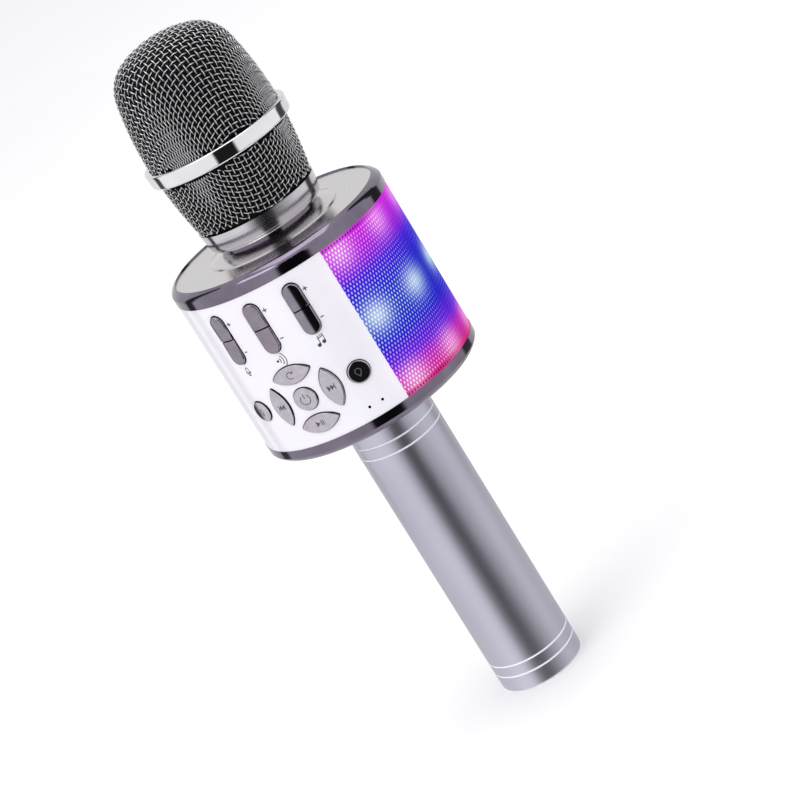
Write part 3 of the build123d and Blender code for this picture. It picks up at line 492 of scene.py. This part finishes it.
def pressCloth(wall, pitch, reach):
    # square cloth draped from the pole over one quarter: the wires keep their length, so the cells
    # shear into diamonds between the two straight wires. Gives each crossing's distance and angle.
    crossings = {(0, 0): (0.0, 0.0)}
    distance = 0.0
    for i in range(1, reach):
        distance += pitch
        crossings[i, 0] = (distance, 0.0)
        crossings[0, i] = (distance, math.pi / 2)
    limit = wall.along[-1]
    for total in range(2, 2 * reach):
        for i in range(1, total):
            j = total - i
            if (i - 1, j) not in crossings or (i, j - 1) not in crossings:
                continue
            first, second = crossings[i, j - 1], crossings[i - 1, j]
            a, b, corner = wall.cloth(*first), wall.cloth(*second), wall.cloth(*crossings[i - 1, j - 1])
            guess = a + b - corner
            angle = math.atan2(guess.y, guess.x)
            far = max(first[0], second[0]) + pitch / 2
            for trial in range(30):
                spot = wall.cloth(far, angle)
                missA, missB = (spot - a).length - pitch, (spot - b).length - pitch
                if abs(missA) + abs(missB) < 1e-8:
                    break
                nudge, swing = 1e-6, 1e-4
                further, turned = wall.cloth(far + nudge, angle), wall.cloth(far, angle + swing)
                a1 = ((further - a).length - pitch - missA) / nudge
                b1 = ((further - b).length - pitch - missB) / nudge
                a2 = ((turned - a).length - pitch - missA) / swing
                b2 = ((turned - b).length - pitch - missB) / swing
                span = a1 * b2 - a2 * b1
                if abs(span) < 1e-9:
                    break
                far -= max(-pitch, min(pitch, (missA * b2 - a2 * missB) / span))
                angle -= max(-0.2, min(0.2, (a1 * missB - missA * b1) / span))
            solved = abs(missA) + abs(missB) < 1e-6 and (spot - corner).length > pitch * 0.4
            if solved and far < limit + pitch and -0.01 < angle < math.pi / 2 + 0.01:
                crossings[i, j] = (far, angle)
    return crossings


def meshFromCurve(curve):
    holder = bpy.data.objects.new(curve.name, curve)
    bpy.context.scene.collection.objects.link(holder)
    mesh = bpy.data.meshes.new_from_object(holder.evaluated_get(bpy.context.evaluated_depsgraph_get()))
    bpy.data.objects.remove(holder)
    bpy.data.curves.remove(curve)
    return mesh


def addLine(curve, line, cyclic=False):
    spline = curve.splines.new("POLY")
    spline.points.add(len(line) - 1)
    spline.use_cyclic_u = cyclic
    for point, spot in zip(spline.points, line):
        point.co = (*spot, 1.0)


def tubeMesh(name, lines, radius, sides):
    curve = bpy.data.curves.new(name, "CURVE")
    curve.dimensions = "3D"
    curve.bevel_depth = radius
    curve.bevel_resolution = sides
    curve.use_fill_caps = True
    for line in lines:
        addLine(curve, line)
    return meshFromCurve(curve)


def markCrowns(mesh, profile, wire):
    # "crown": 1 where a wire stands proud of the cloth, 0 where it dips under its neighbour
    spots = numpy.empty(len(mesh.vertices) * 3)
    mesh.vertices.foreach_get("co", spots)
    spots = spots.reshape(-1, 3)
    radii = numpy.hypot(spots[:, 0], spots[:, 1])
    nearest = numpy.full(len(spots), 1.0)
    proud = numpy.zeros(len(spots))
    for (r0, z0), (r1, z1) in zip(profile, profile[1:]):
        length = math.hypot(r1 - r0, z1 - z0)
        share = ((radii - r0) * (r1 - r0) + (spots[:, 2] - z0) * (z1 - z0)) / length**2
        share = numpy.clip(share, 0, 1)
        missR, missZ = radii - r0 - share * (r1 - r0), spots[:, 2] - z0 - share * (z1 - z0)
        away = numpy.hypot(missR, missZ)
        closer = away < nearest
        side = (missR * (z0 - z1) + missZ * (r1 - r0)) / length
        proud[closer] = side[closer]
        nearest[closer] = away[closer]
    crown = mesh.attributes.new("crown", "FLOAT", "POINT")
    crown.data.foreach_set("value", numpy.clip(proud / (2 * wire) + 0.5, 0, 1))


def wovenPiece(name, settings, profile, body, material):
    wall = Wall(profile, settings["press"])
    quarter = pressCloth(wall, settings["pitch"], settings["reach"])
    start = math.radians(settings["azimuth"])
    reach = settings["reach"]
    top = wall.along[-1] - settings["wire"]
    nearest = settings["start"]

    def crossing(i, j):
        known = quarter.get((abs(i), abs(j)))
        if known is None:
            return None
        distance, angle = known
        if i < 0:
            angle = math.pi - angle
        if j < 0:
            angle = -angle
        return distance, angle + start

    def inside(spot):
        return spot is not None and nearest <= spot[0] <= top

    lines = []
    for family in (0, 1):
        for i in range(-reach, reach + 1):
            line = []
            for j in range(-reach, reach + 1):
                pair = (i, j) if family else (j, i)
                here = crossing(*pair)
                after = crossing(*((i, j + 1) if family else (j + 1, i)))
                if not inside(here):
                    if len(line) > 2:
                        lines.append(line)
                    line = []
                    continue
                up = 1 if (pair[0] + pair[1] + family) % 2 else -1
                lift = up * settings["wire"] * settings["crimp"]
                spot = wall.real(*here, lift)
                line.append(spot)
                if inside(after):   # the slope between two crossings, short of each
                    beyond = wall.real(*after, -lift)
                    line += [spot.lerp(beyond, 0.28), spot.lerp(beyond, 0.72)]
            if len(line) > 2:
                lines.append(line)
    mesh = tubeMesh(name, lines, settings["wire"] / 2, settings["sides"])
    markCrowns(mesh, profile, settings["wire"])
    piece = newPiece(name, mesh, material, body)
    print(name, "wires:", len(lines), "faces:", len(mesh.polygons))
    return piece


domeCloth = dict(
    pitch=2.15 * mm,
    wire=0.42 * mm,
    crimp=0.75,        # how far a wire stands off the cloth's middle where it crosses, in wire diameters
    press=0.86,       # 1 would be cloth whose wires never stretch
    reach=30,
    azimuth=-90 + 44,  # the straight wires' direction
    sides=1,
    start=0.0,         # distance along the wall at which the wires begin
    tuck=1.2 * mm,     # how far the wires run on behind the belt
    shoulder=22 * mm,  # radius beyond which the wall counts as upright
)
clothMiddle = domeCloth["wire"] * 0.95   # the cloth's middle lies this far inside the CAD shell's outside
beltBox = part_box("grille_belt")
domeFoot = beltBox[1][2] - domeCloth["tuck"]
domeSide = [(0.0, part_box("grille_dome")[1][2] - clothMiddle)]
for radius, height in reversed(outerSide("grille_dome")):
    if height > domeFoot and radius > 0.5 * mm:
        sideways = min(1, radius / domeCloth["shoulder"])
        domeSide.append((radius - clothMiddle * sideways, height - clothMiddle * (1 - sideways**2)))
domeSide.append((domeSide[-1][0], domeFoot))
domeWires = wovenPiece("woven_dome", domeCloth, domeSide, "wire_head", steelWire)
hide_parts("grille_dome")

basketCloth = dict(
    domeCloth,
    pitch=2.05 * mm,
    press=0.82,
    reach=34,
    tuck=2 * mm,
    turnIn=3 * mm,    # the flat floor stops this far short of the wall, which leaves room for its corner
    drop=1.5 * mm,    # floor below the wall's foot
    bends=6,
)
# the basket is draped upside down, from its closed floor up to the belt
basketSide = outerSide("grille_basket")
basketTop = beltBox[0][2] + basketCloth["tuck"]
basketSide = [(r - clothMiddle, z) for r, z in basketSide if z < basketTop]
footRadius, footHeight = basketSide[0]
floorRadius = footRadius - basketCloth["turnIn"]
floorHeight = footHeight - basketCloth["drop"]
basketProfile = [(0.0, -floorHeight), (floorRadius, -floorHeight)]
for k in range(1, basketCloth["bends"]):
    bend = math.pi / 2 * k / basketCloth["bends"]
    out = floorRadius + (footRadius - floorRadius) * math.sin(bend)
    basketProfile.append((out, -floorHeight - basketCloth["drop"] * (1 - math.cos(bend))))
basketProfile += [(r, -z) for r, z in basketSide]
cornerEnd = basketCloth["bends"] + 1
turnedIn = zip(basketProfile[:cornerEnd], basketProfile[1:cornerEnd + 1])
basketCloth["start"] = sum(math.hypot(b[0] - a[0], b[1] - a[1]) for a, b in turnedIn)
basketWires = wovenPiece("woven_basket", basketCloth, basketProfile, "wire_head", steelWire)
for vertex in basketWires.data.vertices:
    vertex.co.z = -vertex.co.z
basketWires.data.flip_normals()
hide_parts("grille_basket")

# The foam lining: the CAD piece's own mesh, cut finer, then lumped a little as foam is
foamShape = dict(lump=0.35 * mm, lumpSize=7 * mm, longest=6 * mm)
foamMesh = bmesh.new()
foamMesh.from_mesh(nodes["windscreen"].data)
bmesh.ops.remove_doubles(foamMesh, verts=foamMesh.verts, dist=0.01 * mm)
longEdges = [edge for edge in foamMesh.edges if edge.calc_length() > foamShape["longest"]]
bmesh.ops.subdivide_edges(foamMesh, edges=longEdges, cuts=2, use_grid_fill=True)
bmesh.ops.triangulate(foamMesh, faces=foamMesh.faces)
foamMesh.normal_update()
for vertex in foamMesh.verts:
    lump = noise.noise(vertex.co / foamShape["lumpSize"])
    vertex.co -= vertex.normal * foamShape["lump"] * (0.5 + 0.5 * lump)
foamData = bpy.data.meshes.new("foam_windscreen")
foamMesh.to_mesh(foamData)
foamMesh.free()
foam = newPiece("foam_windscreen", foamData, foamBlack, "windscreen")
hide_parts("windscreen")
print("foam made")

# Perforated sheet: six-sided cells, each with its middle taken out, bent round the drum
sheetShape = dict(
    pitch=1.27 * mm,      # hole to hole along a row
    rowPitch=1.43 * mm,
    web=0.3 * mm,         # half of the metal between two holes
    thickness=0.3 * mm,
    seam=30.65 * mm,      # round the drum from the panel's middle to the sheet's end, just clear of the panel
)


def perforatedPiece(name, startGirth, endGirth):
    across, up = sheetShape["pitch"], sheetShape["rowPitch"]
    columns = max(2, round((endGirth - startGirth) / across))
    across = (endGirth - startGirth) / columns
    low, high = drumBox[0][2], drumBox[1][2]
    rows = math.ceil((high - low) / up) + 2
    cell = bmesh.new()
    bmesh.ops.create_circle(cell, cap_ends=True, segments=6, radius=1.0)
    for vertex in cell.verts:   # pointed ends up and down, upright sides, tiling on this pitch
        vertex.co = Vector((vertex.co.x * across / math.sqrt(3), 0, vertex.co.y * 2 * up / 3))
    cellMesh = bpy.data.meshes.new(name)
    cell.to_mesh(cellMesh)
    cell.free()
    sheet = bpy.data.objects.new(name + "Sheet", cellMesh)
    bpy.context.scene.collection.objects.link(sheet)
    arrays = [
        (2, (across / 2, 0, up)),
        (columns + 1, (across, 0, 0)),
        (math.ceil(rows / 2) + 1, (0, 0, 2 * up)),
    ]
    for count, step in arrays:
        repeat = sheet.modifiers.new("repeat", "ARRAY")
        repeat.count = count
        repeat.use_relative_offset = False
        repeat.use_constant_offset = True
        repeat.constant_offset_displace = step
        repeat.use_merge_vertices = True
        repeat.merge_threshold = 0.02 * mm
    flat = bpy.data.meshes.new_from_object(sheet.evaluated_get(bpy.context.evaluated_depsgraph_get()))
    bpy.data.objects.remove(sheet)
    work = bmesh.new()
    work.from_mesh(flat)
    bmesh.ops.remove_doubles(work, verts=work.verts, dist=0.03 * mm)
    bmesh.ops.translate(work, verts=work.verts, vec=(startGirth, 0, low - up / 2))
    bmesh.ops.inset_individual(work, faces=work.faces[:], thickness=sheetShape["web"], use_even_offset=True)
    holes = [f for f in work.faces if len(f.verts) == 6]
    bmesh.ops.delete(work, geom=holes, context="FACES")
    cuts = [
        ((0, 0, low), (0, 0, -1)), ((0, 0, high), (0, 0, 1)),
        ((startGirth, 0, 0), (-1, 0, 0)), ((endGirth, 0, 0), (1, 0, 0)),
    ]
    for place, away in cuts:
        geometry = work.verts[:] + work.edges[:] + work.faces[:]
        settings = dict(geom=geometry, dist=0.001 * mm, plane_co=place, plane_no=away)
        bmesh.ops.bisect_plane(work, clear_outer=True, **settings)
    for vertex in work.verts:
        angle = vertex.co.x / drumRadius
        vertex.co = Vector((math.sin(angle) * drumRadius, -math.cos(angle) * drumRadius, vertex.co.z))
    bmesh.ops.recalc_face_normals(work, faces=work.faces)
    work.normal_update()
    sample = max(work.faces, key=lambda f: f.calc_area())
    middle = sample.calc_center_median()
    if sample.normal.dot(Vector((middle.x, middle.y, 0))) < 0:
        bmesh.ops.reverse_faces(work, faces=work.faces)
    bmesh.ops.solidify(work, geom=work.faces[:], thickness=sheetShape["thickness"])
    data = bpy.data.meshes.new(name)
    work.to_mesh(data)
    work.free()
    piece = newPiece(name, data, perforated, "microphone", smooth=False)
    print(name, "faces:", len(data.polygons))
    return piece


wholeGirth = 2 * math.pi * drumRadius
grilleRight = perforatedPiece("perforated_grille_right", sheetShape["seam"], wholeGirth / 2)
grilleLeft = perforatedPiece("perforated_grille_left", wholeGirth / 2, wholeGirth - sheetShape["seam"])
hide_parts("speaker_grille")
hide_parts("speaker_grille")

# Rocker keys: the CAD keys with a crown across each face, so that they mirror the room in stripes
keyShape = dict(
    crown=0.32 * mm,
    cuts=9,                              # lines down the key that the crown bends at
    faceRadius=drumRadius + 0.4 * mm,    # what lies beyond it from the drum's axis is the face
    sharp=math.radians(35),
)


def crownedKey(nodeName):
    low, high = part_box(nodeName)
    middle = Vector(((low[0] + high[0]) / 2, (low[1] + high[1]) / 2, 0))
    outward = middle.normalized()
    across = Vector((-outward.y, outward.x, 0))
    work = bmesh.new()
    work.from_mesh(nodes[nodeName].data)
    bmesh.ops.remove_doubles(work, verts=work.verts, dist=0.005 * mm)
    halfWidth = max(abs(vertex.co.dot(across)) for vertex in work.verts)
    for cut in range(1, keyShape["cuts"] + 1):
        share = 2 * cut / (keyShape["cuts"] + 1) - 1
        geometry = work.verts[:] + work.edges[:] + work.faces[:]
        place = across * halfWidth * share
        bmesh.ops.bisect_plane(work, geom=geometry, dist=0.001 * mm, plane_co=place, plane_no=across)
    for vertex in work.verts:
        if vertex.co.dot(outward) > keyShape["faceRadius"]:
            share = vertex.co.dot(across) / halfWidth
            vertex.co += outward * keyShape["crown"] * (1 - share**2)
    data = bpy.data.meshes.new(nodeName + "Crowned")
    work.to_mesh(data)
    work.free()
    piece = newPiece(nodeName + "_crowned", data, keyChrome, nodeName)
    data.set_sharp_from_angle(angle=keyShape["sharp"])
    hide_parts(nodeName)


for keyName in ("mic_key", "reverb_key", "music_key"):
    crownedKey(keyName)
print("keys crowned")

# Marks, printed on the panel or etched in the buttons: each is a few strokes and filled shapes, in mm

def arcPoints(cx, cy, radius, start, end, count=14):
    steps = [start + (end - start) * k / count for k in range(count + 1)]
    return [(cx + radius * math.cos(math.radians(s)), cy + radius * math.sin(math.radians(s))) for s in steps]


def pill(radius, top, bottom):
    # a microphone's head: an upright pill, back to its start
    return arcPoints(0, top, radius, 0, 180) + arcPoints(0, bottom, radius, 180, 360) + [(radius, top)]


def noteHead(cx, cy):
    return arcPoints(cx, cy, 0.58, 0, 345)


marks = {
    "plus": dict(lines=[[(-0.8, 0), (0.8, 0)], [(0, -0.8), (0, 0.8)]]),
    "minus": dict(lines=[[(-0.6, 0), (0.6, 0)]]),
    "power": dict(lines=[arcPoints(0, -0.1, 1.45, 125, 415, 24), [(0, 0.3), (0, 1.75)]]),
    "previous": dict(
        lines=[[(-1.35, -1.1), (-1.35, 1.1)]],
        fills=[[(1.3, -1.1), (1.3, 1.1), (0, 0)], [(0, -1.1), (0, 1.1), (-1.2, 0)]],
    ),
    "next": dict(
        lines=[[(1.35, -1.1), (1.35, 1.1)]],
        fills=[[(-1.3, 1.1), (-1.3, -1.1), (0, 0)], [(0, 1.1), (0, -1.1), (1.2, 0)]],
    ),
    "play": dict(
        lines=[[(0.65, -1.05), (0.65, 1.05)], [(1.4, -1.05), (1.4, 1.05)]],
        fills=[[(-1.5, 1.1), (-1.5, -1.1), (0.1, 0)]],
    ),
    "mode": dict(lines=[arcPoints(0, 0, 1.25, 30, 300, 18), [(0.45, 0.45), (1.15, 0.6), (1.3, 1.3)]]),
    "voice": dict(lines=[pill(0.55, 0.5, -0.3), [(0, -0.85), (0, -1.5)], [(-0.5, -1.5), (0.5, -1.5)]]),
    "light": dict(
        lines=[
            arcPoints(0, 0.35, 1.05, -55, 235, 20), [(-0.6, -0.5), (-0.45, -1.0), (0.45, -1.0), (0.6, -0.5)],
            [(-0.35, -1.45), (0.35, -1.45)],
        ],
    ),
    "micLabel": dict(
        lines=[
            pill(0.5, 0.7, -0.1), arcPoints(0, 0.0, 0.95, 190, 350), [(0, -0.95), (0, -1.5)],
            [(-0.55, -1.5), (0.55, -1.5)],
        ],
    ),
    "reverbLabel": dict(
        lines=[arcPoints(-1.3, 0, r, -48, 48) for r in (1.0, 1.9, 2.8)],
        fills=[arcPoints(-1.3, 0, 0.42, 0, 345)],
    ),
    "musicLabel": dict(
        lines=[[(-0.55, -1.0), (-0.55, 1.4), (1.15, 1.75), (1.15, -0.65)], [(-0.55, 0.85), (1.15, 1.2)]],
        fills=[noteHead(-1.05, -1.05), noteHead(0.65, -0.7)],
    ),
}

markShape = dict(
    proud=0.04,      # how far the ink stands off its face
    sunk=0.05,
    longest=0.7,     # longest edge before it is bent round the drum
)


def markPiece(name, kind, girth, height, surface, body, material, scale=1.0, stroke=0.17):
    strokes = [[(x * scale, y * scale, 0) for x, y in line] for line in marks[kind]["lines"]]
    work = bmesh.new()
    work.from_mesh(tubeMesh(name, strokes, stroke, 1))
    if "fills" in marks[kind]:
        filled = bpy.data.curves.new(name + "Fill", "CURVE")
        filled.dimensions = "2D"
        filled.fill_mode = "BOTH"
        filled.extrude = stroke
        for fill in marks[kind]["fills"]:
            addLine(filled, [(x * scale, y * scale, 0) for x, y in fill], cyclic=True)
        work.from_mesh(meshFromCurve(filled))
    longEdges = [edge for edge in work.edges if edge.calc_length() > markShape["longest"]]
    bmesh.ops.subdivide_edges(work, edges=longEdges, cuts=2)
    angle = girth * mm / drumRadius
    outward = Vector((math.sin(angle), -math.cos(angle), 0))
    across = Vector((math.cos(angle), math.sin(angle), 0))
    for vertex in work.verts:
        x, y, depth = vertex.co
        lift = depth / stroke * (markShape["proud"] if depth > 0 else markShape["sunk"])
        level = math.sqrt(surface**2 - x**2) + lift
        vertex.co = (outward * level + across * x + Vector((0, 0, height + y))) * mm
    bmesh.ops.recalc_face_normals(work, faces=work.faces)
    data = bpy.data.meshes.new(name)
    work.to_mesh(data)
    work.free()
    return newPiece(name, data, material, body, smooth=False)


def middleOf(nodeName):
    low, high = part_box(nodeName)
    centre = ((low[0] + high[0]) / 2, (low[1] + high[1]) / 2, (low[2] + high[2]) / 2)
    return math.atan2(centre[0], -centre[1]) * drumRadius / mm, centre[2] / mm


labels = dict(
    face=drumRadius / mm,     # radius of the panel's outside
    buttonRise=0.7,           # the buttons stand this far off it
    drop=12.7,                # from a key's middle to the sign under it
    size=1.15,
    side=4.5,                 # from a key's middle to the plus and minus beside it
    plusUp=5.4,
    minusDown=5.8,
    signStroke=0.2,
)
buttonFace = labels["face"] + labels["buttonRise"]
for body, kind, size in (
    ("power_button", "power", 1.25), ("mode_button", "mode", 1.0), ("play_button", "play", 0.95),
    ("previous_button", "previous", 1.0), ("next_button", "next", 1.0), ("voice_button", "voice", 1.0),
    ("light_button", "light", 1.0),
):
    girth, height = middleOf(body)
    markPiece(kind + "_mark", kind, girth, height, buttonFace, body, etched, size)
for keyName in ("mic_key", "reverb_key", "music_key"):
    girth, height = middleOf(keyName)
    kind = keyName.split("_")[0] + "Label"
    onPanel = (labels["face"], "microphone", printInk)
    markPiece(keyName + "_label", kind, girth, height - labels["drop"], *onPanel, labels["size"])
    for sign, rise in (("plus", labels["plusUp"]), ("minus", -labels["minusDown"])):
        beside = girth + labels["side"]
        markPiece(keyName + "_" + sign, sign, beside, height + rise, *onPanel, stroke=labels["signStroke"])
print("marks made")

# The studio: pale floor, a tent that only mirrors see, soft light all round
studio = dict(
    azimuth=29.5,          # the side that the camera stands on
    floorSize=30.0,
    tentRadius=0.9,
    tentLow=-0.7,
    tentHigh=1.3,
    shadeFoot=-0.2,        # the soft shade turns into the sharp cards between these two heights
    shadeTop=-0.15,
    sky=0.95,              # strength of the light from all round
    lampAim=(0, 0, 0.15),
)

floorMesh = bmesh.new()
bmesh.ops.create_grid(floorMesh, x_segments=1, y_segments=1, size=studio["floorSize"] / 2)
floorData = bpy.data.meshes.new("floor")
floorMesh.to_mesh(floorData)
floorMesh.free()
floor = bpy.data.objects.new("floor", floorData)
bpy.context.scene.collection.objects.link(floor)
floorPaint, tree, shader, where = newMaterial("matPaleFloor", "#f7f7f8", 0.9)
varyColour(tree, shader, noiseAt(tree, where, 0.5), "#f5f5f6", "#f9f9fa")
floorData.materials.append(floorPaint)
floor.visible_glossy = False

tentMesh = bmesh.new()
radius, depth = studio["tentRadius"], studio["tentHigh"] - studio["tentLow"]
bmesh.ops.create_cone(tentMesh, cap_ends=False, segments=128, radius1=radius, radius2=radius, depth=depth)
bmesh.ops.translate(tentMesh, verts=tentMesh.verts, vec=(0, 0, (studio["tentHigh"] + studio["tentLow"]) / 2))
tentData = bpy.data.meshes.new("tent")
tentMesh.to_mesh(tentData)
tentMesh.free()
tent = bpy.data.objects.new("tent", tentData)
bpy.context.scene.collection.objects.link(tent)
tentCloth = bpy.data.materials.new("tentCloth")
tentCloth.use_nodes = True
tree = tentCloth.node_tree
tree.nodes.clear()
where = addNode(tree, "ShaderNodeTexCoord").outputs["Object"]
turn = {"Angle": -math.radians(studio["azimuth"])}
turned = addNode(tree, "ShaderNodeVectorRotate", turn, {"Vector": where}, rotation_type="Z_AXIS")
parts = addNode(tree, "ShaderNodeSeparateXYZ", links={0: turned.outputs[0]})
limits = {"From Min": -math.pi, "From Max": math.pi}
share = addNode(tree, "ShaderNodeMapRange", limits, {"Value": angleFromPanel(tree, parts)}).outputs[0]


def bandRamp(tree, share, bands):
    # each band is degrees round from the camera's side, and how bright the tent is there
    ramp = addNode(tree, "ShaderNodeValToRGB", links={"Fac": share})
    points = ramp.color_ramp.elements
    while len(points) < len(bands):
        points.new(0.5)
    for point, (degree, level) in zip(points, bands):
        point.position = (degree + 180) / 360
        point.color = (level, level, level * 1.01, 1)
    return ramp.outputs["Color"]


# sharp dark cards for the chrome, and lower down one wide soft shade for the handle
highBands = [
    (-180, 0.8), (-134, 0.85), (-131, 0.07), (-121, 0.07), (-117, 0.95), (-18.5, 0.95), (-15, 0.012),
    (16, 0.012), (20, 0.9), (105, 0.9), (109, 0.06), (127, 0.06), (130, 0.8), (180, 0.8),
]
lowBands = [
    (-180, 0.7), (-90, 0.85), (-60, 1.0), (-42, 0.95), (-28, 0.45), (-18, 0.1), (0, 0.015),
    (16, 0.05), (30, 0.24), (45, 0.42), (73, 0.75), (107, 0.65), (180, 0.7),
]
limits = {"From Min": studio["shadeFoot"], "From Max": studio["shadeTop"]}
height = addNode(tree, "ShaderNodeMapRange", limits, {"Value": parts.outputs["Z"]})
bands = addNode(
    tree, "ShaderNodeMix",
    links={0: height.outputs[0], 6: bandRamp(tree, share, lowBands), 7: bandRamp(tree, share, highBands)},
    data_type="RGBA",
)
emission = addNode(tree, "ShaderNodeEmission", {"Strength": 1.0}, {"Color": bands.outputs[2]})
addNode(tree, "ShaderNodeOutputMaterial", links={"Surface": emission.outputs[0]})
tentData.materials.append(tentCloth)
for ray in ("camera", "diffuse", "shadow", "transmission", "volume_scatter"):
    setattr(tent, "visible_" + ray, False)

world = bpy.data.worlds.new("studio")
bpy.context.scene.world = world
world.use_nodes = True
background = world.node_tree.nodes["Background"]
background.inputs["Color"].default_value = (1.0, 1.0, 1.01, 1)
background.inputs["Strength"].default_value = studio["sky"]


def softbox(name, place, size, power):
    lamp = bpy.data.lights.new(name, "AREA")
    lamp.shape = "SQUARE"
    lamp.size = size
    lamp.energy = power
    holder = bpy.data.objects.new(name, lamp)
    bpy.context.scene.collection.objects.link(holder)
    holder.location = place
    holder.rotation_euler = (Vector(studio["lampAim"]) - Vector(place)).to_track_quat("-Z", "Y").to_euler()
    holder.visible_camera = False


softbox("keySoftbox", (-0.5, -1.2, 1.6), 1.15, 9.0)
softbox("topSoftbox", (0.1, 0.1, 1.9), 1.2, 6.0)

camera = dict(
    eye=(0.4423, -0.7818, 0.4007),
    aim=(0.01327, -0.01064, 0.1187),
    roll=31.65,
    lens=121.3,
    sensor=36,
    farthest=100,
)
view = bpy.data.cameras.new("camera")
view.lens = camera["lens"]
view.sensor_width = camera["sensor"]
view.clip_end = camera["farthest"]
viewer = bpy.data.objects.new("camera", view)
bpy.context.scene.collection.objects.link(viewer)
forward = (Vector(camera["aim"]) - Vector(camera["eye"])).normalized()
rolled = Matrix.Rotation(-math.radians(camera["roll"]), 3, "Z")
viewer.rotation_euler = (forward.to_track_quat("-Z", "Y").to_matrix() @ rolled).to_euler()
viewer.location = camera["eye"]
bpy.context.scene.camera = viewer
bpy.context.scene.view_settings.view_transform = "Standard"
print("studio set")
